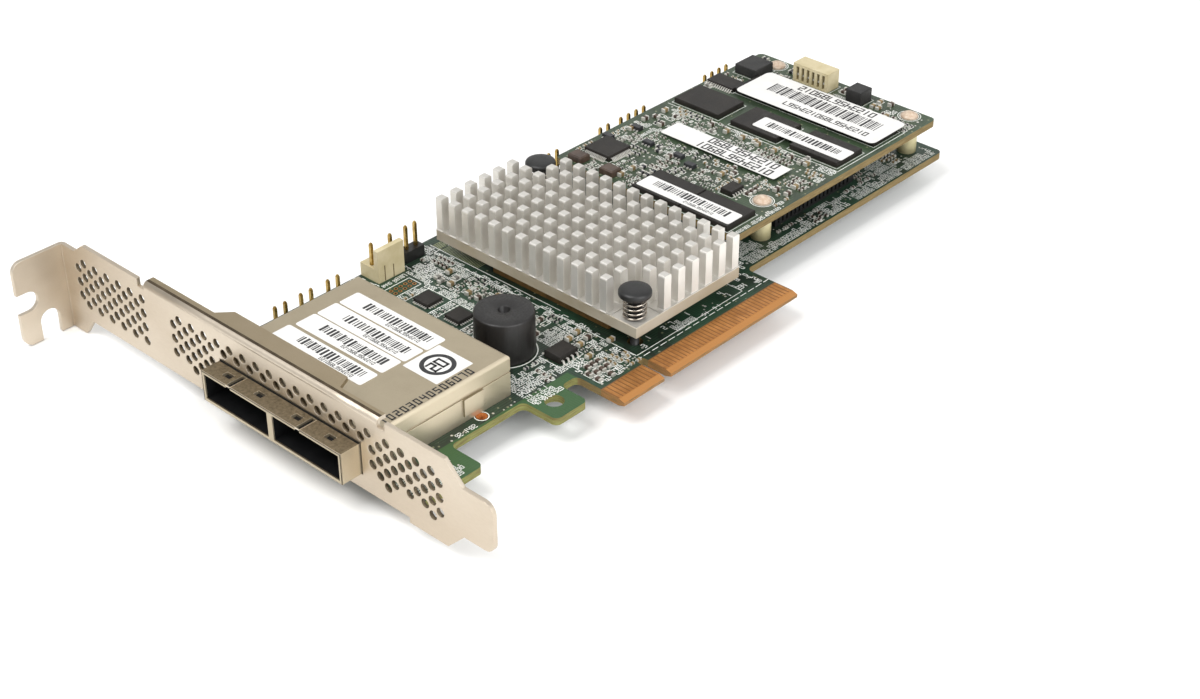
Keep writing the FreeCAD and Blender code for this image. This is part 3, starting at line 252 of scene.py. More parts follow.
TAB_LIMITS = [object_place(axis, place)
              for axis, place in ((0, -12.4), (0, 39.15), (1, 14.2), (1, 5.8), (1, 1.4))]
BRACKET_PLANE = object_place(0, -60.0)
MATERIALS = {
    "main_mask": printed_board("main_mask", "1a241c", "213a2a", "2c4a36", TAB_LIMITS),
    "deck_mask": printed_board("deck_mask", "2c3829", "354531", "43553c"),
}
# Two tones, scale of their change, roughness, metal, grain, relief, edge radius, stretch and
# specular level.
FINISHES = {
    "gold": ("c98f54", "a97340", 0.3, (0.36, 0.46), 0.8),
    "pin_gold": ("c3a663", "9e8044", 0.8, (0.2, 0.34), 1.0),
    "bracket": ("d0c5b5", "c4b7a5", 0.06, (0.40, 0.50), 1.0, 3.0, 0.12, 0.00018,
                (1.0, 0.35, 1.0)),
    # painted shade: the folded lip a darker colour than the bracket's face
    "lip_painted_shade": ("ab9c83", "a29378", 0.06, (0.34, 0.44), 1.0, 3.0, 0.12),
    # painted reflection: a dark band along the lip's fold
    "fold_painted_reflection": ("5c4f3d", "473c2d", 0.3, (0.4, 0.5), 0.8),
    # painted shade on the walls of the bracket's vents and of the collar window
    "vent_painted_shade": ("4f4536", "756853", 0.9, (0.4, 0.55), 0.7),
    "sink_base": ("bdb5a5", "aca08a", 0.1, (0.4, 0.5), 0.4, 6.0, 0.2),
    # painted highlight on the edges and rims of the port collar
    "edge_painted_highlight": ("e6dccb", "d3c6b0", 0.5, (0.25, 0.35), 1.0),
    "screw": ("b9b9b6", "a6a6a2", 0.5, (0.25, 0.35), 1.0),
    "slot_shade": ("66573a", "5a4c32", 0.3, (0.5, 0.6)),
    "black": ("141414", "1a1a1a", 0.5, (0.38, 0.5), 0.0, 6.0, 0.15, 0.00006),
    # also painted shade: the dark lining of the port mouths and the openings of the plated holes
    "port": ("0b0b0c", "121213", 0.5, (0.5, 0.6), 0.0, 8.0, 0.15, 0.0, (1.0, 1.0, 1.0), 0.2),
    "buzzer": ("191716", "110f0e", 0.5, (0.34, 0.55), 0.0, 2.5, 0.2, 0.0, (1.0, 1.0, 0.08)),
    "cream": ("c6ba98", "b8ab85", 0.3, (0.4, 0.5), 0.0, 6.0, 0.15, 0.00008),
    "nylon": ("c9c099", "bdb389", 0.3, (0.3, 0.4)),
    "dome": ("c7b6a2", "b39a84", 1.4, (0.28, 0.4)),
    "resin": ("211d19", "181512", 0.25, (0.42, 0.55), 0.0, 7.0, 0.3, 0.00005, (1.0, 1.0, 1.0),
              0.35),
    "ferrite": ("262524", "1b1b1b", 0.4, (0.5, 0.6), 0.0, 5.0, 0.4, 0.00015),
    "tin": ("dedcd6", "c8c5bc", 0.8, (0.3, 0.42), 0.55),
    "tan": ("8a7650", "6d5b3d", 0.5, (0.35, 0.45)),
    "brown": ("4a3a30", "382b23", 0.5, (0.35, 0.45)),
    "grey": ("77756e", "5f5d57", 0.5, (0.35, 0.45)),
    "chip_black": ("26262a", "1d1d20", 0.5, (0.3, 0.4)),
    "ink": ("1c1c1e", "2a2a2c", 1.2, (0.5, 0.6)),
    "silk": ("f2f3ee", "dfe1da", 0.6, (0.55, 0.65)),
    "olive": ("a3a880", "8b9068", 0.8, (0.4, 0.5)),
    "paper": ("dcdbd8", "d5d4d1", 0.3, (0.5, 0.6), 0.0, 10.0, 0.1),
    "substrate": ("7a5c2e", "634822", 0.4, (0.35, 0.5)),
    "lid": ("b6b6b2", "a3a39f", 0.3, (0.3, 0.4), 1.0),
    "pad": ("8d8f90", "7f8182", 0.4, (0.6, 0.7)),
    "copper": ("d98a55", "c4713c", 0.6, (0.2, 0.32), 1.0),
    "steel": ("b5aea4", "978f85", 0.6, (0.14, 0.22), 1.0),
}
for name, finish in FINISHES.items():
    MATERIALS[name] = surface(name, *finish)


def aluminium():
    """Bare extruded aluminium with drawing lines down the pins, and upward faces darker as painted
    shade.
    """
    n = Nodes("aluminium")
    lines = n.noise(n.place((3.0, 3.0, 0.12)), 2.4, 3.0, 0.6)
    drawn = n.two_tones(n.noise(n.place(), 0.12), "e7e4de", "dad7d0")
    # upward faces a darker colour: painted shade on the tops
    shaded_top = n.over(n.facing()["Z"], 0.5)
    n.paint(Base_Color=n.mix(shaded_top, drawn, colour("cfccc6")),
            Roughness=n.ramp(lines, 0.3, 0.7, 0.40, 0.55), Metallic=0.75)
    n.relief(lines, 0.25, 0.00004, 0.0001)
    return n.material


def cage_plate():
    """Nickel plate: front wall lighter by a painted highlight, handled and stained on top of the
    port collar.
    """
    n = Nodes("cage")
    spot = n.place()
    x = n.split(spot)["X"]
    side = n.facing()
    plain = n.two_tones(n.noise(spot, 0.08), "b5a992", "aea28b")
    stain = n.two_tones(n.noise(spot, 1.6, 4.0), "958871", "7b6f5a")
    collar_top = n.both(n.over(side["Z"], 0.5), n.under(x, BRACKET_PLANE))
    tone = n.mix(collar_top, plain, stain)
    front = n.under(side["Y"], -0.5)
    fine = n.noise(spot, 4.0, 2.0)
    # faces towards the front a lighter colour: a painted highlight
    n.paint(Base_Color=n.mix(front, tone, colour("d0c4ac")),
            Roughness=n.ramp(fine, 0.3, 0.7, 0.38, 0.48), Metallic=0.9)
    n.relief(fine, 0.1, edge=0.0002)
    return n.material


MATERIALS["aluminium"] = aluminium()
MATERIALS["cage"] = cage_plate()


# --- mesh building ---
def polar(x, y, radius, angle):
    return x + radius * math.cos(angle), y + radius * math.sin(angle)


def circle(x, y, radius, sides=20):
    return [polar(x, y, radius, 2 * math.pi * k / sides) for k in range(sides)]


def arc(x, y, radius, start, end, steps=6):
    return [polar(x, y, radius, math.radians(start + (end - start) * k / steps))
            for k in range(steps + 1)]


def rectangle(x0, y0, x1, y1):
    return [(x0, y0), (x1, y0), (x1, y1), (x0, y1)]


def at_height(points, z):
    return [(x, y, z) for x, y in points]


def band(count):
    """Four-sided faces between two closed rings of points that follow each other."""
    return [[k, (k + 1) % count, (k + 1) % count + count, k + count] for k in range(count)]


class Shape:
    """Faces of one piece, collected in millimetres of the card frame."""

    def __init__(self, name, *materials):
        self.name = name
        self.materials = materials
        self.points = []
        self.faces = []
        self.slots = []
        self.smooth = []

    def add(self, points, faces, slot=0, smooth=False):
        start = len(self.points)
        self.points += [tuple(p) for p in points]
        for face in faces:
            self.faces.append([start + k for k in face])
            self.slots.append(slot)
            self.smooth.append(smooth)

    def plate(self, corners, low, high):
        """Straight extrusion of a plane outline, anticlockwise from above."""
        count = len(corners)
        faces = [[k, k + count, (k + 1) % count + count, (k + 1) % count] for k in range(count)]
        faces += [list(range(count - 1, -1, -1)), list(range(count, 2 * count))]
        self.add(at_height(corners, low) + at_height(corners, high), faces)

    def block(self, low, high, slot=0, bevel=0.0):
        """Box between two corners, with its four upper edges bevelled."""
        (x0, y0, z0), (x1, y1, z1) = low, high
        levels = [(0.0, z0), (0.0, z1 - bevel), (bevel, z1)] if bevel else [(0.0, z0), (0.0, z1)]
        self.loft([at_height(rectangle(x0 + i, y0 + i, x1 - i, y1 - i), z) for i, z in levels],
                  slot)

    def loft(self, rings, slot=0, smooth=False, closed=True):
        """Skin over rings of equally many points, with flat ends."""
        count = len(rings[0])
        last = (len(rings) - 1) * count
        points = [p for ring in rings for p in ring]
        faces = [[r + k for k in face] for r in range(0, last, count) for face in band(count)]
        self.add(points, faces, slot, smooth)
        if closed:
            self.add(points[:count], [list(range(count - 1, -1, -1))], slot)
            self.add(points[last:], [list(range(count))], slot)

    def turn(self, x, y, profile, slot, sides):
        """Round piece about an upright axis from (radius, height) pairs."""
        self.loft([at_height(circle(x, y, radius, sides), height) for radius, height in profile],
                  slot, smooth=True)

    def line(self, start, end, width, height, slot=0):
        """Flat printed stroke between two places."""
        (x0, y0), (x1, y1) = start, end
        length = math.hypot(x1 - x0, y1 - y0)
        dx, dy = (x1 - x0) / length * width / 2, (y1 - y0) / length * width / 2
        self.add([(x0 - dx + dy, y0 - dy - dx, height), (x1 + dx + dy, y1 + dy - dx, height),
                  (x1 + dx - dy, y1 + dy + dx, height), (x0 - dx - dy, y0 - dy + dx, height)],
                 [[0, 1, 2, 3]], slot)

    def outline(self, box, width, height):
        corners = rectangle(*box)
        for k in range(4):
            self.line(corners[k], corners[(k + 1) % 4], width, height)

    def ring(self, x, y, inner, outer, height, slot=0, sides=48):
        """Flat printed ring."""
        points = []
        for k in range(sides + 1):
            for radius in (inner, outer):
                points.append((*polar(x, y, radius, math.radians(360.0 * k / sides)), height))
        faces = [[2 * k, 2 * k + 1, 2 * k + 3, 2 * k + 2] for k in range(sides)]
        self.add(points, faces, slot)

    def disc(self, x, y, radius, height, slot, sides):
        self.add(at_height(circle(x, y, radius, sides), height), [list(range(sides))], slot)

    def wire(self, path, radius):
        """Round wire along a path of points that never stands upright."""
        sides = 8
        rings = []
        spots = [Vector(p) for p in path]
        for k, spot in enumerate(spots):
            along = (spots[min(k + 1, len(spots) - 1)] - spots[max(k - 1, 0)]).normalized()
            across = Vector((0, 0, 1)).cross(along)
            across.normalize()
            other = along.cross(across)
            rings.append([spot + radius * (math.cos(2 * math.pi * j / sides) * across
                                           + math.sin(2 * math.pi * j / sides) * other)
                          for j in range(sides)])
        self.loft(rings, smooth=True)

    def build(self, slot=None, replaces=(), welded=False):
        mesh = bpy.data.meshes.new(self.name)
        mesh.from_pydata([ORIGIN + Vector(p) * MM for p in self.points], [], self.faces)
        for name in self.materials:
            mesh.materials.append(MATERIALS[name])
        mesh.polygons.foreach_set("material_index", self.slots)
        mesh.polygons.foreach_set("use_smooth", self.smooth)
        if welded:
            shell = bmesh.new()
            shell.from_mesh(mesh)
            bmesh.ops.remove_doubles(shell, verts=shell.verts, dist=0.002 * MM)
            bmesh.ops.recalc_face_normals(shell, faces=shell.faces)
            shell.to_mesh(mesh)
            shell.free()
        mesh.update()
        item = bpy.data.objects.new(self.name, mesh)
        bpy.context.scene.collection.objects.link(item)
        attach(item, "root")
        if replaces:
            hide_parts(*replaces)


SEGMENTS = {"0": "abcdef", "1": "h", "2": "abged", "3": "abgcd", "4": "fgbc", "5": "afgcd",
            "6": "afgedc", "7": "abc", "8": "abcdefg", "9": "abcdfg"}
STROKES = {"a": ((0, 2), (1, 2)), "b": ((1, 2), (1, 1)), "c": ((1, 1), (1, 0)),
           "d": ((0, 0), (1, 0)), "e": ((0, 0), (0, 1)), "f": ((0, 1), (0, 2)),
           "g": ((0, 1), (1, 1)), "h": ((0.5, 0), (0.5, 2))}


def digits(shape, text, x, y, tall, height, stroke, turn=0.0, slot=0, narrow=0.5, spacing=1.55):
    """Plain figures in straight strokes, read along a direction in degrees.

    stroke and narrow are shares of the height, and spacing is a share of the width."""
    cos, sin = math.cos(math.radians(turn)), math.sin(math.radians(turn))
    wide = tall * narrow
    for index, figure in enumerate(text):
        for name in SEGMENTS[figure]:
            ends = []
            for u, v in STROKES[name]:
                along = index * wide * spacing + u * wide
                up = v * tall / 2
                ends.append((x + along * cos - up * sin, y + along * sin + up * cos))
            shape.line(*ends, stroke * tall, height, slot)


# --- solids kept from the frame ---
KEPT = {
    "main_mask": "main_board", "deck_mask": "memory_board", "gold": "edge_contacts sas_contacts",
    "screw": "bracket_screws", "cage": "sas_cage", "port": "sas_housing_1 sas_housing_2",
    "substrate": "processor_substrate", "lid": "processor_lid", "pad": "thermal_pad",
    "black": "rear_headers jumper_header mezzanine_socket mezzanine_plug",
    "ferrite": "power_inductor_1 power_inductor_2", "tin": "backup_power_pins",
    "cream": "backup_power_connector fan_header",
    "resin": "boot_memory flash_controller bus_switch logic_gate "
             + " ".join("memory_chip_" + str(number) for number in range(1, 9)),
}
for finish, names in KEPT.items():
    for name in names.split():
        slots = NODES[name].data.materials
        slots.clear()
        slots.append(MATERIALS[finish])


# --- end bracket ---
BRACKET_LOW, BRACKET_HIGH = card_box("io_bracket")
FLANGE_DEEP, STEEL, BEND = 11.43, 0.86, 1.1
FACE = BRACKET_LOW.x + FLANGE_DEEP  # outer side of the face
FACE_BACK = FACE + STEEL - BEND  # where the flange meets its bend
FOOT, END, TOP = BRACKET_LOW.y, BRACKET_HIGH.y, BRACKET_HIGH.z
HALF_WIDE = 9.21
AXIS = TOP - HALF_WIDE  # middle of the bracket's width
LEFT, FLANGE_LOW, FLANGE_HIGH = BRACKET_LOW.x, AXIS - 12.05, AXIS + 6.9
LIP_START, LIP_END, LIP_STEP = FOOT + 27.8, END - 27.42, END - 45.62
ROUND = 2.2  # rounded corners of the tongue and the flange
COLLAR_MID, COLLAR_HALF, COLLAR_LOW, COLLAR_HIGH = 37.4, 19.0, 0.55, 7.05
VENT = 0.84  # radius of a vent
RIM = 0.1  # rolled rim of a vent


def vent_places():
    """Middles of the round vents, in three staggered fields."""
    step, rise, first = 1.86, 1.57, AXIS + 4.95
    upper = [(c, r) for c in range(12) for r in range(7) if (c + r) % 2 == 1]
    middle = [(c, r) for c in range(8) for r in range(7)
              if (c + r) % 2 == 1 and c + r < 10 and (c, r) not in [(1, 6), (7, 2)]]
    middle += [(8 + 2 * k, 1) for k in range(11)] + [(9 + 2 * k, 0) for k in range(11)]
    lower = [(c, r) for c in range(10) for r in range(7)
             if (c + r) % 2 == 0 and (c, r) not in [(0, 0), (0, 6), (4, 6), (6, 6)]]
    for start, cells in ((END - 5.72, upper), (END - 35.52, middle), (FOOT + 29.6, lower)):
        for column, row in cells:
            yield start - column * step, first - row * rise


def cut_out(loops):
    """Triangles of a plane outline with holes, over the points of all loops."""
    return tessellate_polygon([[Vector((u, v, 0.0)) for u, v in loop] for loop in loops])


def sheet(shape, outline, holes, place, depth, hole_slot=0):
    """Flat sheet with holes: place puts a plane point and a depth into the card frame."""
    loops = [outline] + holes
    for level, turn in ((0.0, 1), (depth, -1)):
        shape.add([place(u, v, level) for loop in loops for u, v in loop],
                  [face[::turn] for face in cut_out(loops)])
    for loop in loops:
        hole = loop is not outline
        shape.add([place(u, v, level) for level in (0.0, depth) for u, v in loop],
                  band(len(loop)), hole_slot if hole else 0, hole and len(loop) > 12)


def bracket_face(shape):
    """Perforated face with its tongue, relief cuts and window for the port collar."""
    low, half_tongue, relief = AXIS - 8.05, 5.095, 1.7
    outline = arc(FOOT + ROUND, AXIS - half_tongue + ROUND, ROUND, 180, 270)
    outline += [(FOOT + 7.11, AXIS - half_tongue), (FOOT + 11.23, AXIS - HALF_WIDE),
                (FOOT + 20.7, AXIS - HALF_WIDE), (FOOT + 20.7, low), (END - 8.02, low),
                (END - 5.02, FLANGE_LOW), (END - BEND, FLANGE_LOW), (END - BEND, FLANGE_HIGH),
                (END - 5.02, FLANGE_HIGH), (END - 8.02, TOP), (LIP_END + 2.0, TOP),
                (LIP_END + 2.0, TOP - relief), (LIP_END, TOP - relief), (LIP_END, TOP - BEND),
                (LIP_START, TOP - BEND), (LIP_START, TOP - relief),
                (LIP_START - 2.0, TOP - relief), (LIP_START - 2.0, TOP), (FOOT + 11.23, TOP),
                (FOOT + 7.11, AXIS + half_tongue)]
    outline += arc(FOOT + ROUND, AXIS + half_tongue - ROUND, ROUND, 90, 180)
    gap = 0.3
    window = rectangle(COLLAR_MID - COLLAR_HALF - gap, COLLAR_LOW - 0.15,
                       COLLAR_MID + COLLAR_HALF + gap, COLLAR_HIGH + gap)
    vents = list(vent_places())
    # the walls of the vents and of the window are darkened as painted shade
    sheet(shape, outline, [window] + [circle(y, z, VENT + RIM) for y, z in vents],
          lambda u, v, d: (FACE + RIM + d, u, v), STEEL - RIM, 1)
    loops = [outline, window] + [circle(y, z, VENT + 2 * RIM) for y, z in vents]
    shape.add([(FACE, u, v) for loop in loops for u, v in loop], cut_out(loops))
    for loop in loops[:2]:
        shape.add([(x, u, v) for x in (FACE, FACE + RIM) for u, v in loop], band(len(loop)))
    for y, z in vents:
        shape.loft([[(FACE + depth, u, v) for u, v in circle(y, z, radius)]
                    for depth, radius in ((0.0, VENT + 2 * RIM), (RIM, VENT + RIM))],
                   0, True, False)


def bracket_lip(shape):
    """Lip folded over from the face: deep beside the cage, shallow at both ends."""
    # slots: the bend in the face's finish, a dark painted reflection along the fold, and the rest
    # of the lip darker as painted shade
    plain, edge, fold_painted_reflection = 0, 2, 3
    rings = []
    for y, depth in ((LIP_START, 2.2), (25.2, 2.2), (26.6, 5.2), (LIP_STEP - 2.6, 5.2),
                     (LIP_STEP, 2.5), (LIP_END, 2.5)):
        section = [(FACE + BEND - BEND * math.cos(math.radians(15 * k)),
                    TOP - BEND + BEND * math.sin(math.radians(15 * k))) for k in range(7)]
        section += [(FACE + BEND + 0.35, TOP), (FACE + depth, TOP), (FACE + depth, TOP - STEEL),
                    (FACE + BEND, TOP - STEEL), (FACE + STEEL, TOP - BEND)]
        rings.append([(x, y, z) for x, z in section])
    count = len(rings[0])
    for near, far in zip(rings, rings[1:]):
        for k in range(count):
            after = (k + 1) % count
            shape.add([near[k], near[after], far[after], far[k]], [[0, 1, 2, 3]],
                      plain if k < 5 else fold_painted_reflection if k < 7 else edge, k < 5)
    for ring in (rings[0], rings[-1]):
        shape.add(ring, [list(range(count))])


def bracket_flange(shape):
    """Flange with its screw slot and locating notch, and the bend that carries it."""
    screw, half = AXIS - 2.4, 2.21
    slot_x, notch_x, notch_z = LEFT + 2.35, FACE - 5.0, AXIS - 8.1
    plan = [(FACE_BACK, FLANGE_LOW), (FACE_BACK, FLANGE_HIGH), (LEFT + ROUND, FLANGE_HIGH)]
    plan += arc(LEFT + ROUND, FLANGE_HIGH - ROUND, ROUND, 90, 180)[1:]
    plan += [(LEFT, screw + half), (slot_x, screw + half)]
    plan += arc(slot_x, screw, half, 90, -90, 10)[1:]
    plan += [(LEFT, screw - half), (LEFT, FLANGE_LOW + ROUND)]
    plan += arc(LEFT + ROUND, FLANGE_LOW + ROUND, ROUND, 180, 270)[1:]
    plan += [(notch_x - 2.2, FLANGE_LOW)]
    plan += arc(notch_x, notch_z, half, 180, 0, 10)
    plan += [(notch_x + 2.2, FLANGE_LOW)]
    sheet(shape, plan, [], lambda u, v, d: (u, END - d, v), STEEL)
    bend = [(FACE_BACK, END)]
    bend += [(FACE_BACK + BEND * math.sin(math.radians(15 * k)),
              END - BEND + BEND * math.cos(math.radians(15 * k))) for k in range(1, 7)]
    bend += [(FACE, END - BEND), (FACE, END - STEEL), (FACE_BACK, END - STEEL)]
    shape.loft([at_height(bend, z) for z in (FLANGE_LOW, FLANGE_HIGH)])


def bracket_tabs(shape):
    """Two fixing tabs under the board."""
    screws_low, screws_high = card_box("bracket_screws")
    head, near, far = 2.7, FACE + 0.3, FACE + 10.0
    for y in (screws_low.y + head, screws_high.y - head):
        sheet(shape, rectangle(near, y - 4.0, far, y + 4.0),
              [circle(screws_low.x + head, y, 1.5)],
              lambda u, v, d: (u, v, -BOARD_THICK - d), STEEL)


folded = Shape("io_bracket_dressed", "bracket", "vent_painted_shade", "lip_painted_shade", "fold_painted_reflection")
for section in (bracket_face, bracket_lip, bracket_flange, bracket_tabs):
    section(folded)
folded.build("bracket_steel", ("io_bracket",), welded=True)


def collar():
    """Skin over the two port mouths: front edges lit by painted highlights and a dark lining of
    painted shade.
    """
    front = card_box("sas_cage")[0].x
    shape = Shape("port_collar", "edge_painted_highlight", "port")
    y0, y1 = COLLAR_MID - COLLAR_HALF, COLLAR_MID + COLLAR_HALF
    low, high = COLLAR_LOW + 0.6, COLLAR_HIGH - 0.6
    skin, raised, dark = 0.06, COLLAR_HIGH + 0.05, 1
    x = (front + FACE) / 2
    for side in (-1, 1):
        middle = COLLAR_MID + side * 9.55
        a, b = middle - 8.85, middle + 8.85
        # thin dark walls and a back wall inside each mouth: painted shade
        for u0, v0, u1, v1 in ((a, low, b, low + skin), (a, high - skin, b, high),
                               (a, low, a + skin, high), (b - skin, low, b, high)):
            shape.block((front + 0.3, u0, v0), (FACE + 1.2, u1, v1), dark)
        shape.block((FACE + 1.2, a, low), (FACE + 1.3, b, high), dark)
        # painted highlights on the rims of the latch holes and of the slit in the top, with painted
        # shade under the holes
        for offset in (-4.4, 4.4):
            y = middle + offset
            shape.block((x + 0.6, y - 1.05, COLLAR_HIGH - 0.1), (x + 0.75, y + 1.05, raised))
            shape.block((x - 0.6, y + 0.95, COLLAR_HIGH - 0.1), (x + 0.6, y + 1.1, raised))
            shape.block((x - 0.6, y - 0.95, COLLAR_HIGH - 0.7),
                        (x + 0.6, y + 0.95, COLLAR_HIGH - 0.5), dark)
        y = middle + 1.9
        shape.block((front, y - 0.78, COLLAR_HIGH - 0.3), (FACE - 0.5, y - 0.6, raised))
    # front edges of the collar lit by painted highlights
    for y in (y0 + 0.18, y1):
        shape.block((front, y - 0.18, COLLAR_LOW), (front + 0.18, y, COLLAR_HIGH))
    shape.block((front, y0, COLLAR_HIGH - 0.2), (front + 0.2, y1, COLLAR_HIGH + 0.03), 0, 0.05)
    # dark strip where the collar meets the bracket face: a painted shadow in the gap
    shape.block((FACE - 0.3, y0, COLLAR_HIGH), (FACE, y1, COLLAR_HIGH + 0.06), dark)
    shape.build("cage_nickel")


collar()


# --- heat sink ---
def heat_sink():
    """Milled base with round-shouldered pins, left out at the two push pins."""
    low, high = card_box("heatsink")
    middle_x, middle_y = node_middle("heatsink")
    pitch_x, pitch_y, half_x, half_y = 4.05, 3.75, 1.0, 0.85
    shoulder, root = 0.45, 0.2
    floor = low.z + SINK_BASE
    step = floor - 0.18  # floor of the bays milled round the push pins
    bay_x, bay_y = 7.1, 6.675
    shape = Shape("heat_sink_dressed", "aluminium", "sink_base")
    shape.block((low.x, low.y, low.z), (high.x, high.y, step), 1, 0.1)
    shape.plate([(low.x + bay_x, low.y), (high.x, low.y), (high.x, high.y - bay_y),
                 (high.x - bay_x, high.y - bay_y), (high.x - bay_x, high.y), (low.x, high.y),
                 (low.x, low.y + bay_y), (low.x + bay_x, low.y + bay_y)], step, floor)
    # bare aluminium on the floor of the bays
    shape.plate(rectangle(low.x + 0.1, low.y + 0.1, high.x - 0.1, high.y - 0.1),
                step - 0.1, step + 0.01)
    for i in range(8):
        for j in range(15):
            if (i < 2 and j < 2) or (i > 5 and j > 12):
                continue
            x = middle_x + (i - 3.5) * pitch_x
            y = middle_y + (j - 7) * pitch_y
            arch = [(x + half_x + root, floor - 0.05), (x + half_x + root, floor),
                    (x + half_x + 0.3 * root, floor + 0.3 * root), (x + half_x, floor + root)]
            for k in range(9):
                across = 0.0 if k == 4 else (half_x - shoulder) * (1 if k < 4 else -1)
                arch.append(polar(x + across, high.z - shoulder, shoulder, math.pi * k / 8))
            arch += [(x - half_x, floor + root), (x - half_x - 0.3 * root, floor + 0.3 * root),
                     (x - half_x - root, floor), (x - half_x - root, floor - 0.05)]
            shape.loft([[(u, y + side * half_y, v) for u, v in arch] for side in (1, -1)])
    shape.build("heatsink_aluminium", ("heatsink",))


heat_sink()


# --- push pins and springs ---
def push_pins():
    low, high = card_box("push_pins")
    floor = card_box("heatsink")[0].z + SINK_BASE
    top, head = high.z, 3.25
    turns, steps = 5.0, 28
    start, end = floor + 0.22, top - 2.0
    pegs = Shape("push_pins_dressed", "black")
    coils = Shape("push_pin_springs_dressed", "steel")
    for x, y in ((low.x + head, low.y + head), (high.x - head, high.y - head)):
        pegs.turn(x, y, [
            (0.01, low.z), (0.7, low.z + 0.1), (2.0, -BOARD_THICK - 0.4),
            (0.9, -BOARD_THICK - 0.35), (0.9, floor), (1.45, floor + 0.05), (1.45, top - 1.75),
            (2.9, top - 1.7), (3.15, top - 1.6), (head, top - 1.4), (head, top - 0.75),
            (3.1, top - 0.42), (2.7, top - 0.2), (1.9, top - 0.06), (1.0, top), (0.01, top)],
            0, 48)
        path = []
        for k in range(int(turns * steps) + 1):
            share = k / (turns * steps)
            rise = start + (end - start) * min(1.0, max(0.0, (share - 0.08) / 0.84))
            path.append((*polar(x, y, 2.15, 2 * math.pi * turns * share), rise))
        coils.wire(path, 0.22)
    pegs.build("black_plastic", ("push_pins",))
    coils.build("spring_steel", ("push_pin_springs",))


push_pins()


# --- buzzer ---
def buzzer():
    low, high = card_box("buzzer")
    r, top = (high.x - low.x) / 2, high.z
    shape = Shape("buzzer_dressed", "buzzer", "port")
    shape.turn(*node_middle("buzzer"), [
        (r - 0.1, 0.02), (r, 0.25), (r, top - 0.45), (r - 0.12, top - 0.15), (r - 0.4, top),
        (1.3, top), (1.2, top - 0.1), (1.2, top - 3.0), (0.01, top - 3.0)], 0, 72)
    shape.build("buzzer_black", ("buzzer",))


buzzer()


# --- standoffs ---
def standoffs():
    """Shouldered posts with a swaged dome over the memory board."""
    stem, foot, top = 1.25, POST_LOW.z, POST_HIGH.z
    shape = Shape("standoffs_dressed", "nylon", "dome")
    for x, y in POSTS:
        shape.turn(x, y, [
            (0.3, foot), (1.6, -BOARD_THICK - 0.2), (stem, -BOARD_THICK - 0.15), (stem, 0.0),
            (POST_HALF, 0.01), (POST_HALF, DECK_FLOOR - 0.01), (stem, DECK_FLOOR),
            (stem, DECK)], 0, 36)
        shape.turn(x, y, [
            (stem, DECK - 0.05), (1.95, DECK + 0.02), (1.92, DECK + 0.35), (1.6, DECK + 0.62),
            (1.15, DECK + 0.8), (0.9, top - 0.1), (0.6, top), (0.01, top)], 1, 36)
    shape.build("nylon", ("standoffs",))


standoffs()


# --- header pins ---
def square_pin(shape, x, y, low, high):
    """Square pin with a tapered tip."""
    half, taper, tip = 0.32, 0.14, 0.45
    levels = ((half, low), (half, high - tip), (half - taper, high))
    shape.loft([at_height(rectangle(x - h, y - h, x + h, y + h), z) for h, z in levels])


def header_pins():
    """Pins from the first one's place and their number, row by row."""
    pitch = 2.54
    for node, finish, slot, rows in (
            ("led_headers_pins", "pin_gold", "gold", ((-39.2, 2), (-32.7, 2), (-25.8, 2))),
            ("rear_headers_pins", "pin_gold", "gold",
             ((36.9, 2), (53.2, 2), (59.9, 4), (88.6, 4))),
            ("jumper_header_pins", "pin_gold", "gold", ((-4.9, 2),)),
            ("fan_header_pins", "pin_gold", "tin", ((-14.2, 1), (-9.12, 1)))):
        low, high = card_box(node)
        shape = Shape(node + "_dressed", finish)
        for first, count in rows:
            for k in range(count):
                square_pin(shape, first + k * pitch, node_middle(node)[1], low.z, high.z)
        shape.build(slot, (node,))


header_pins()


# --- leads of the packages ---
def gull_lead(shape, x, y, level, out, wide, reach, rise):
    """Formed lead: out of the package, down and along the board. out is a unit direction."""
    ox, oy = out
    px, py = -oy, ox
    thick = 0.13
    profile = [(-0.1, rise + thick), (reach * 0.38, rise + thick), (reach * 0.58, thick * 1.1),
               (reach, thick), (reach, 0.01), (reach * 0.5, 0.01), (reach * 0.3, rise),
               (-0.1, rise)]
    shape.loft([[(x + ox * u + px * side * wide, y + oy * u + py * side * wide, level + v)
                 for u, v in profile] for side in (-0.5, 0.5)])


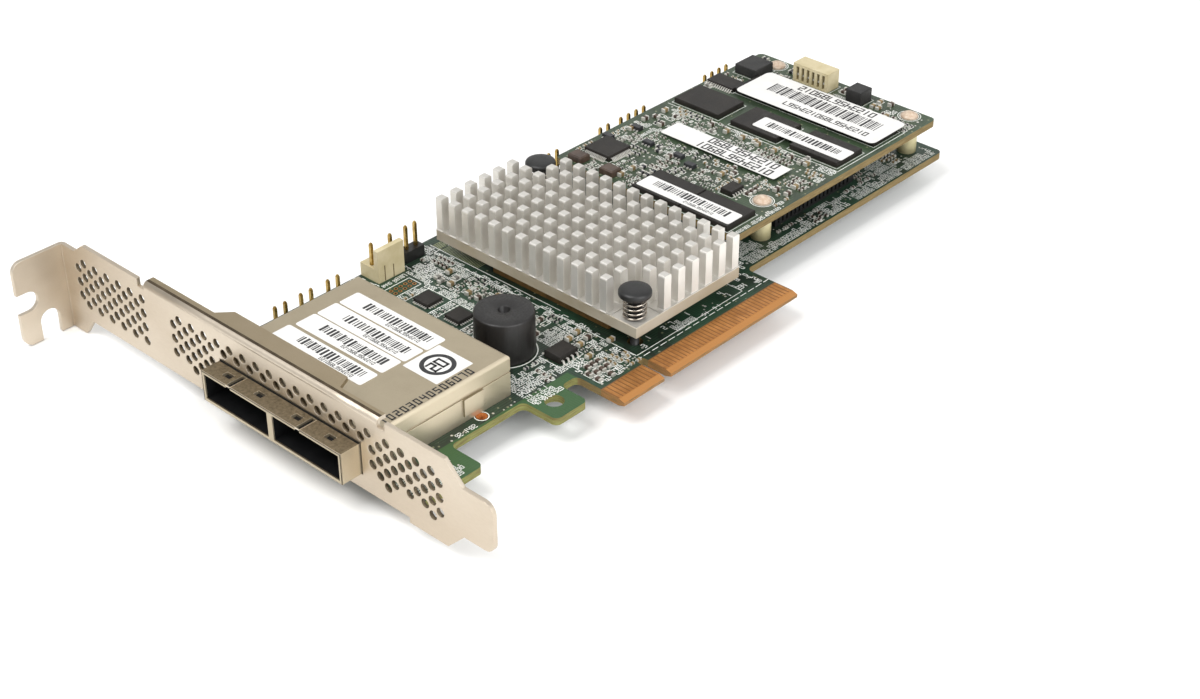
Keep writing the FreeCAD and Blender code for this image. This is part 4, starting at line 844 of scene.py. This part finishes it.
def package_leads():
    """Rows of formed leads, and the flat regulators between their short flat ones."""
    left_right, front_back = ((-1, 0), (1, 0)), ((0, -1), (0, 1))
    shape = Shape("package_leads", "tin")
    for node, sides, count, inset, *form in (
            ("flash_controller", left_right + front_back, 14, 0.75, DECK, 0.26, 1.1, 0.5),
            ("bus_switch", left_right, 12, 0.3, DECK, 0.3, 1.1, 0.4),
            ("logic_gate", front_back, 5, 0.35, DECK, 0.3, 0.8, 0.4),
            ("boot_memory", front_back, 4, 0.6, 0.0, 0.42, 1.15, 0.6)):
        level, wide, reach, rise = form
        low, high = card_box(node)
        for out in sides:
            corner = high if max(out) > 0 else low
            start, end = (((corner.x, low.y + inset), (corner.x, high.y - inset)) if out[0] else
                          ((low.x + inset, corner.y), (high.x - inset, corner.y)))
            for k in range(count):
                share = k / (count - 1)
                gull_lead(shape, start[0] + (end[0] - start[0]) * share,
                          start[1] + (end[1] - start[1]) * share, level, out, wide, reach, rise)
    chips = Shape("voltage_regulators_dressed", "resin")
    half = 2.05
    for node in REGULATORS:
        x, y = node_middle(node)
        chips.block((x - half, y - half, 0.02), (x + half, y + half, card_box(node)[1].z), 0, 0.08)
        for k in range(7):
            at = -half + 0.4 + (2 * half - 0.8) * k / 6 - 0.15
            for side in (-half - 0.45, half - 0.05):
                for u, v, long, wide in ((side, at, 0.5, 0.3), (at, side, 0.3, 0.5)):
                    shape.block((x + u, y + v, 0.01), (x + u + long, y + v + wide, 0.2), 0, 0.05)
    chips.build("chip_resin", REGULATORS)
    shape.build("tin")


def lock_slots():
    """Two fine slots that rise from the board in the front of the friction-lock header."""
    low, high = card_box("fan_header")
    shape = Shape("fan_header_slots", "slot_shade")
    for share, top in ((0.25, 3.6), (0.58, 3.0)):
        x = low.x + (high.x - low.x) * share
        shape.block((x - 0.13, low.y - 0.02, low.z + 0.1), (x + 0.13, low.y + 0.02, low.z + top))
    shape.build("cream_plastic")


package_leads()
lock_slots()


# --- small components and printing ---
# Every kind of print has a height of its own over the board, so that no two share a plane.
DOT_RISE, FILL_RISE, LINE_RISE, FIGURE_RISE = 0.012, 0.013, 0.014, 0.015
PART_FINISHES = ("tin", "chip_black", "tan", "brown", "grey")
BLACK, TAN, BROWN, GREY = range(1, 5)  # slots of the parts' bodies, after their tin ends
PAD_SLOT, COPPER_SLOT, HOLE_SHADE_SLOT, OLIVE_SLOT, GOLD_SLOT = range(1, 6)  # after white printing
FIGURE_STEP = 0.775  # length of a small figure to its height


def grown(box, spare):
    x0, y0, x1, y1 = box
    return x0 - spare, y0 - spare, x1 + spare, y1 + spare


def node_plan(node, spare=0.0):
    """Rectangle round a node as seen from above."""
    low, high = card_box(node)
    return grown((low.x, low.y, high.x, high.y), spare)


class Layout:
    """Keeps small parts and printing on one board face clear of what stands there."""

    CELL, GRID = 0.1, (1800, 800)
    START_X, START_Y = 65.0, 2.0  # how far the grid reaches before the card frame's zero

    def __init__(self, level, nodes, spare):
        self.level = level
        self.taken = numpy.zeros(self.GRID, dtype=bool)
        for name in nodes:
            low, high = card_box(name)
            if low.z < level + 0.6 and high.z > level:
                self.block(node_plan(name, spare))

    def cells(self, box):
        x0, y0, x1, y1 = box
        places = [int(round(v / self.CELL)) for v in (x0 + self.START_X, x1 + self.START_X,
                                                      y0 + self.START_Y, y1 + self.START_Y)]
        return slice(*places[:2]), slice(*places[2:])

    def block(self, box):
        self.taken[self.cells(box)] = True

    def free(self, box):
        return not self.taken[self.cells(box)].any()


SIZES = ((1.0, 0.55, 0.42), (1.6, 0.85, 0.6), (0.65, 0.35, 0.3), (1.0, 0.55, 0.38))


def small_part(shape, x, y, level, along, size, body):
    """Chip resistor or capacitor: a body between two plated ends."""
    long, wide, tall = size
    u, v = (x, y) if along else (y, x)
    half, side, end = long / 2, wide / 2, 0.22 * long

    def piece(u0, u1, v0, v1, top, *look):
        low, high = ((u0, v0), (u1, v1)) if along else ((v0, u0), (v1, u1))
        shape.block((*low, level), (*high, top), *look)

    piece(u - half + end, u + half - end, v - side, v + side, level + tall, body, 0.04)
    for start in (u - half, u + half - end):
        piece(start, start + end, v - side - 0.02, v + side + 0.02, level + tall + 0.02)


def designator(silk, layout, x, y, turned, count, tall):
    """Plain figures beside a part. Gives the length taken, or nothing where it is not free."""
    wide = count * tall * FIGURE_STEP
    w, h = (tall, wide) if turned else (wide, tall)
    box = (x, y, x + w, y + h)
    if not layout.free(box):
        return 0.0
    text = "".join(random.choice("0234568900") for _ in range(count))
    digits(silk, text, x + tall if turned else x, y, tall, layout.level + FIGURE_RISE, 0.19,
           90.0 if turned else 0.0)
    layout.block(grown(box, 0.05))
    return wide


def framed_part(parts, silk, layout, x, y, turned, size, body):
    """Part between its printed frame, or bare pads where body is nothing."""
    long, wide = size[0] + 0.5, size[1] + 0.5
    w, h = (long, wide) if turned else (wide, long)
    box = (x, y, x + w, y + h)
    if not layout.free(box):
        return 0.0
    middle = (x + w / 2, y + h / 2)
    if body is None:
        for end in (-1, 1):
            spot = end * (long / 2 - 0.45)
            px, py = (middle[0] + spot, middle[1]) if turned else (middle[0], middle[1] + spot)
            silk.disc(px, py, 0.24, layout.level + DOT_RISE, PAD_SLOT, 8)
    else:
        small_part(parts, *middle, layout.level, turned, size, body)
    if random.random() < 0.45:
        silk.outline(grown(box, -0.1), 0.15, layout.level + LINE_RISE)
    layout.block(grown(box, 0.02))
    return wide if turned else long


def places(start, end, step):
    """Places from start in even steps, short of end."""
    while start < end:
        yield start
        start += step


def populate(parts, silk, layout, field, words, loaded, patch=5.2):
    """Patches of printed figures and of framed parts side by side over a field.

    words and loaded are the shares of patches with figures and with parts."""
    x0, y0, x1, y1 = field
    for px in places(x0, x1, patch):
        for py in places(y0, y1, patch):
            turned = random.random() < 0.5
            mood = random.random()
            step = random.choice((1.0, 1.1, 1.25))
            size = random.choice(SIZES)
            body = random.choice((BLACK, BLACK, TAN, BROWN, BROWN, GREY))
            across = 0.0
            while across < patch:
                along = 0.0
                while along < patch:
                    x, y = (px + across, py + along) if turned else (px + along, py + across)
                    gone = 0.0
                    inside = x + 1.2 < x1 and y + 1.2 < y1
                    pick = random.random()
                    if inside and mood < words and pick < 0.9:
                        count = random.choice((2, 3, 3, 4))
                        tall = step - 0.22
                        reach = count * tall * FIGURE_STEP
                        if (y if turned else x) + reach < (y1 if turned else x1):
                            gone = designator(silk, layout, x, y, turned, count, tall)
                    elif inside and mood < words + loaded and pick < 0.85:
                        gone = framed_part(parts, silk, layout, x, y, not turned, size,
                                           body if random.random() < 0.8 else None)
                    elif inside and pick > 0.9:
                        spot = random.uniform(0.16, 0.3)
                        box = (x, y, x + 2 * spot, y + 2 * spot)
                        if layout.free(box):
                            silk.disc(x + spot, y + spot, spot, layout.level + DOT_RISE,
                                      PAD_SLOT, 10)
                            layout.block(box)
                    along += gone + 0.22 if gone else 0.55
                across += step if mood < words else size[1] + 0.62


def fill_printing(silk, layout, field, sparse):
    """Figures and short strokes in every place of a field that is still free."""
    x0, y0, x1, y1 = field
    level = layout.level + FILL_RISE
    tall = 0.8
    y = y0
    while y + tall < y1:
        x = x0
        tall = random.choice((0.8, 0.8, 1.0, 1.2))
        while x + 0.5 < x1:
            wide = tall * random.choice((0.45, 0.5, 0.55))
            if not layout.free((x, y, x + wide, y + tall)):
                x += 0.2
                continue
            pick = random.random()
            if random.random() < sparse:
                wide *= random.choice((1.0, 2.0, 4.0))
            elif pick < 0.8:
                digits(silk, random.choice("0123456789"), x, y, tall, level, 0.17)
            elif pick < 0.9:
                silk.line((x, y), (x, y + tall), 0.14, level)
            else:
                silk.disc(x + wide / 2, y + tall / 2, 0.18, level, PAD_SLOT, 8)
            layout.block((x, y, x + wide, y + tall))
            x += wide + 0.16
        y += tall + 0.2


MAIN_NODES = [n for n in NODES if n not in (
    "main_board", "edge_contacts", "io_bracket", "memory_board", "heatsink", "standoffs",
    "push_pins", "push_pin_springs", "main_board_capacitors", "rear_headers",
    "rear_headers_pins", "led_headers_pins", "bracket_screws", "sas_contacts")]
DECK_NODES = [n for n in NODES if n.startswith("memory_chip")] + [
    "flash_controller", "bus_switch", "logic_gate", "power_inductor_1", "power_inductor_2",
    "backup_power_connector"]


def capacitor_row(shape, layout, node):
    """The carried-over ceramic capacitors, each with its plated ends."""
    groups = []
    for vertex in NODES[node].data.vertices:
        x, y, _ = (vertex.co - ORIGIN) / MM
        for group in groups:
            if abs(group[0][0] - x) < 1.7 and abs(group[0][1] - y) < 1.0:
                group.append((x, y))
                break
        else:
            groups.append([(x, y)])
    for group in groups:
        xs, ys = zip(*group)
        x0, y0, x1, y1 = min(xs), min(ys), max(xs), max(ys)
        small_part(shape, (x1 + x0) / 2, (y1 + y0) / 2, layout.level, True,
                   (x1 - x0, y1 - y0, 0.78), random.choice((TAN, TAN, BROWN)))
        layout.block(grown((x0, y0, x1, y1), 0.2))


def printed_comb(silk, layout):
    """Row of short olive strokes at the heat sink's near rear corner, beside a long line."""
    for k in range(30):
        y = 53.4 + 0.45 * k
        silk.line((2.6, y), (4.6, y), 0.18, LINE_RISE, OLIVE_SLOT)
    silk.line((2.3, 30.0), (2.3, 67.0), 0.16, LINE_RISE)
    layout.block((1.9, 53.0, 4.9, 67.4))


def plated_holes(silk):
    """Two rows of empty plated holes in their printed frame, each opening a dark disc of painted
    shade.
    """
    pitch = 1.27
    for k in range(6):
        for j in range(2):
            x, y = -16.6 + pitch * k, 58.4 + pitch * j
            silk.ring(x, y, 0.26, 0.44, FIGURE_RISE, GOLD_SLOT, 16)
            # dark disc: painted shade inside the hole
            silk.disc(x, y, 0.22, DOT_RISE, HOLE_SHADE_SLOT, 12)
    silk.outline((-17.5, 57.3, -9.4, 60.8), 0.16, LINE_RISE)


def main_board_dressing():
    parts = Shape("main_board_small_parts", *PART_FINISHES)
    silk = Shape("main_board_printing", "silk", "tin", "copper", "port", "olive", "gold")
    layout = Layout(0.0, MAIN_NODES, 0.5)
    capacitor_row(parts, layout, "main_board_capacitors")
    for box in ((-21.4, 21.6, -8.4, 34.6), (-17.9, 56.9, -9.0, 61.2)):  # buzzer, plated holes
        layout.block(box)
    for x, y in POSTS[:2]:
        layout.block(grown((x, y, x, y), 2.6))
    silk.ring(-14.9, 28.1, 6.15, 6.35, FIGURE_RISE)  # round the buzzer
    plated_holes(silk)
    printed_comb(silk, layout)
    hole_x, hole_y = -33.2, 15.9  # copper ring of the mounting hole beside the cage
    silk.ring(hole_x, hole_y, 1.25, 1.45, FIGURE_RISE, sides=30)
    silk.disc(hole_x, hole_y, 1.1, 0.02, COPPER_SLOT, 30)
    layout.block((-35.2, 13.9, -31.4, 18.0))
    for name in REGULATORS + ("boot_memory",):
        silk.outline(node_plan(name, 0.75), 0.14, LINE_RISE)
    low, high = card_box("heatsink")
    silk.outline((low.x - 0.5, low.y - 0.6, high.x + 0.6, high.y + 0.6), 0.14, LINE_RISE)
    layout.block((2.2, low.y + 3.0, high.x - 1.2, high.y))
    for field, words, loaded in (
            ((-23.9, 14.9, 1.0, 68.2), 0.62, 0.33), ((2.0, 8.2, 31.5, 11.8), 0.06, 0.04),
            ((-11.0, 6.6, 1.0, 14.6), 0.6, 0.3), ((-24.0, 14.2, -15.0, 22.0), 0.7, 0.3),
            ((31.6, 13.6, 36.4, 68.0), 0.5, 0.4), ((36.0, 17.0, 106.6, 31.0), 0.45, 0.5),
            ((36.0, 13.6, 106.6, 17.0), 0.85, 0.1), ((34.0, 64.0, 106.6, 68.2), 0.5, 0.4),
            ((-58.0, 59.2, -24.0, 68.4), 0.5, 0.3), ((-58.0, 6.0, -44.6, 14.6), 0.35, 0.1),
            ((-44.0, 14.2, -24.5, 16.6), 0.4, 0.1), ((-24.0, 11.0, -16.8, 14.6), 0.6, 0.0)):
        populate(parts, silk, layout, field, words, loaded)
    dashes_y, dash_step = 7.4, 2.4  # dashed line behind the contacts
    for k in range(21):
        silk.line((-10.4 + dash_step * k, dashes_y), (-8.8 + dash_step * k, dashes_y), 0.16,
                  LINE_RISE)
    layout.block((-12.0, 7.1, 39.0, 7.7))
    for field, sparse in (
            ((-23.9, 14.9, 1.9, 68.4), 0.2), ((-11.0, 8.0, 1.0, 14.9), 0.2),
            ((1.0, 8.0, 31.5, 12.0), 0.9), ((31.0, 8.0, 38.0, 68.4), 0.4),
            ((-24.0, 11.0, -16.0, 15.0), 0.2), ((38.0, 13.6, 106.6, 30.0), 0.2),
            ((-58.0, 59.4, -24.0, 68.6), 0.3), ((-44.0, 14.2, -24.5, 16.6), 0.4)):
        fill_printing(silk, layout, field, sparse)
    parts.build("ceramic_tan", ("main_board_capacitors",))
    silk.build()


def memory_board_dressing():
    parts = Shape("memory_board_small_parts", *PART_FINISHES)
    silk = Shape("memory_board_printing", "silk", "tin")
    layout = Layout(DECK, DECK_NODES, 0.55)
    capacitor_row(parts, layout, "memory_board_capacitors")
    for x, y in POSTS:
        layout.block(grown((x, y, x, y), 2.7))
        silk.ring(x, y, 2.45, 2.6, DECK + FIGURE_RISE, sides=40)
        silk.ring(x, y, 1.5, 2.2, DECK + DOT_RISE, PAD_SLOT, 40)
    layout.block((59.0, 22.0, 65.6, 54.4))  # paper label with two rows of figures
    for x, y in ((37.3, 57.4), (37.3, 48.4)):  # brown blocks
        parts.block((x, y, DECK), (x + 3.0, y + 3.6, DECK + 1.5), BROWN, 0.25)
        layout.block(grown((x, y, x + 3.0, y + 3.6), 0.4))
    # small packages with three leads on each of two sides
    for x, y in ((53.2, 51.6), (53.2, 43.0), (51.6, 38.4), (56.8, 58.2), (49.6, 60.0)):
        parts.block((x, y, DECK), (x + 1.4, y + 2.4, DECK + 0.9), BLACK, 0.1)
        for k in range(3):
            for side in (-0.5, 1.4):
                parts.block((x + side, y + 0.2 + 0.85 * k, DECK),
                            (x + side + 0.5, y + 0.5 + 0.85 * k, DECK + 0.25))
        layout.block((x - 0.7, y - 0.3, x + 2.1, y + 2.7))
    for name in DECK_NODES:
        silk.outline(node_plan(name, 0.4), 0.12, DECK + LINE_RISE)
    for end in ((71.6, 62.6), (95.6, 15.4)):
        silk.line((71.6, 15.4), end, 0.15, DECK + LINE_RISE)
    for field, words, loaded in (
            ((46.2, 15.4, 73.0, 62.6), 0.12, 0.75), ((37.0, 43.0, 47.0, 63.0), 0.15, 0.75),
            ((81.9, 56.0, 95.0, 63.0), 0.3, 0.5), ((95.6, 15.4, 105.2, 62.8), 0.12, 0.75),
            ((37.4, 14.5, 60.0, 16.2), 0.9, 0.05)):
        populate(parts, silk, layout, field, words, loaded, 4.4)
    parts.build("ceramic_tan", ("memory_board_capacitors",))
    silk.build()


main_board_dressing()
memory_board_dressing()


# --- paper labels ---
PAPER, PRINT = 0.08, 0.09  # heights of a label and of its print over what it is stuck on
INK_SLOT = 1


def rounded(x0, y0, x1, y1, radius):
    corners = rectangle(x0 + radius, y0 + radius, x1 - radius, y1 - radius)
    middles = (corners[2], corners[3], corners[0], corners[1])
    return [p for k, (x, y) in enumerate(middles)
            for p in arc(x, y, radius, 90 * k, 90 * k + 90, 4)]


def label(shape, box, level, bars, figures=(), radius=0.5):
    """Paper label with a row of plain bars and small plain figures across it."""
    shape.plate(rounded(*box, radius), level, level + PAPER)
    if bars:
        low, high, y, end = bars
        while y < end:
            thick = random.choice((0.22, 0.22, 0.4, 0.6))
            shape.line((low, y + thick / 2), (high, y + thick / 2), thick, level + PRINT,
                       INK_SLOT)
            y += thick + random.choice((0.2, 0.3, 0.42))
    for x, y, text, tall in figures:
        digits(shape, text, x, y, tall, level + PRINT, 0.19, 90.0, INK_SLOT, 0.55)


def labels():
    cage_top = card_box("sas_cage")[1].z
    shape = Shape("cage_labels", "paper", "ink")
    for x0, y0, x1, y1 in ((-49.9, 29.4, -45.4, 54.0), (-44.6, 29.4, -39.7, 53.4),
                           (-39.4, 29.1, -34.5, 53.3), (-34.1, 28.8, -29.2, 53.1)):
        label(shape, (x0, y0, x1, y1), cage_top, (x0 + 1.9, x0 + 3.6, y0 + 2.0, y1 - 5.0),
              ((x0 + 1.4, y0 + 3.2, "01234567890123", 0.75),))
    label(shape, (-40.4, 19.6, -31.3, 28.5), cage_top, None, (), 0.2)
    shape.ring(-35.9, 24.0, 2.5, 3.4, cage_top + PRINT, INK_SLOT, 60)
    digits(shape, "20", -37.7, 22.7, 2.5, cage_top + PRINT, 0.2, slot=INK_SLOT)
    digits(shape, "10203040506070", -54.6, 17.5, 1.55, cage_top + 0.02, 0.19, slot=INK_SLOT,
           spacing=2.05)
    shape.build("cream_plastic")
    chip_top = card_box("memory_chip_1")[1].z
    deck = Shape("memory_board_labels", "paper", "ink")
    for entry in (
            ((37.5, 17.0, 42.3, 41.9), chip_top, (39.6, 41.4, 19.4, 39.0),
             ((38.9, 22.0, "0123456789012", 0.7),)),
            ((59.0, 22.5, 65.0, 54.0), DECK + 0.62, None,
             ((61.6, 24.6, "012345678901", 2.0), (64.6, 25.2, "01234567890", 2.0))),
            ((74.3, 16.6, 79.2, 40.9), chip_top, (76.0, 77.8, 19.0, 38.5)),
            ((84.8, 16.1, 97.4, 54.4), chip_top, (90.0, 93.6, 19.6, 49.0),
             ((88.2, 19.6, "012345678901234567", 1.5), (96.6, 23.6, "0123456789012", 1.9)),
             1.4)):
        label(deck, *entry)
    deck.build("cream_plastic")


labels()


# --- floor, light and camera ---
def stage():
    """Pale floor that curves up into a wall behind the card, turned to face the camera."""
    reach, rise, radius, bend_start, gap = 3.0, 2.4, 0.6, 1.2, 0.0002
    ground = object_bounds()[0].z - gap
    profile = [(-reach, 0.0), (bend_start, 0.0)]
    for k in range(1, 9):
        angle = math.radians(90 * k / 8)
        profile.append((bend_start + radius * math.sin(angle), radius * (1 - math.cos(angle))))
    profile.append((bend_start + radius, rise))
    count = len(profile)
    mesh = bpy.data.meshes.new("floor")
    mesh.from_pydata([(side, along, ground + up) for side in (-reach, reach)
                      for along, up in profile],
                     [], [[k, k + 1, k + 1 + count, k + count] for k in range(count - 1)])
    floor = bpy.data.objects.new("floor", mesh)
    bpy.context.scene.collection.objects.link(floor)
    floor.rotation_euler = (0, 0, math.radians(VIEW_AZIMUTH))
    n = Nodes("floor_paint")
    tone = n.noise(n.place(), 0.004)
    n.paint(Base_Color=n.mix(tone, colour("f4f4f3"), colour("f7f7f6")), Roughness=0.9)
    mesh.materials.append(n.material)
    floor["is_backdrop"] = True


def lamp(name, spot, size, power):
    """Square soft light aimed at the card's middle."""
    data = bpy.data.lights.new(name, "AREA")
    data.shape = "SQUARE"
    data.size = size
    data.energy = power
    item = bpy.data.objects.new(name, data)
    item.location = spot
    item.rotation_euler = (-Vector(spot)).to_track_quat("-Z", "Y").to_euler()
    bpy.context.scene.collection.objects.link(item)


def lights():
    """White world, at a lower strength for what it lights than for the background."""
    world = bpy.data.worlds.new("studio")
    world.use_nodes = True
    tree = world.node_tree
    back = tree.nodes["Background"]
    back.inputs["Color"].default_value = (1.0, 1.0, 1.0, 1.0)
    path = tree.nodes.new("ShaderNodeLightPath")
    strength = tree.nodes.new("ShaderNodeMapRange")
    strength.inputs["To Min"].default_value = 0.64
    strength.inputs["To Max"].default_value = 1.0
    tree.links.new(path.outputs["Is Camera Ray"], strength.inputs["Value"])
    tree.links.new(strength.outputs["Result"], back.inputs["Strength"])
    bpy.context.scene.world = world
    lamp("key", (-0.5, 0.1, 0.8), 0.5, 6.0)
    lamp("front", (-0.1, -0.85, 0.5), 0.8, 8.0)
    lamp("rim", (0.6, 0.3, 0.8), 0.9, 1.0)


def camera():
    """Camera at the photograph's viewing angle."""
    azimuth, elevation = math.radians(VIEW_AZIMUTH), math.radians(33.65)
    data = bpy.data.cameras.new("camera")
    data.lens = 61.38
    data.sensor_width = 36.0
    data.clip_end = 20
    item = bpy.data.objects.new("camera", data)
    item.location = ORIGIN + Vector((-240.9, -205.0, 215.9)) * MM
    back = Vector((math.sin(azimuth) * math.cos(elevation),
                   -math.cos(azimuth) * math.cos(elevation), math.sin(elevation)))
    item.rotation_euler = (-back).to_track_quat("-Z", "Y").to_euler()
    bpy.context.scene.collection.objects.link(item)
    bpy.context.scene.camera = item


stage()
lights()
camera()
bpy.context.scene.view_settings.view_transform = "Standard"
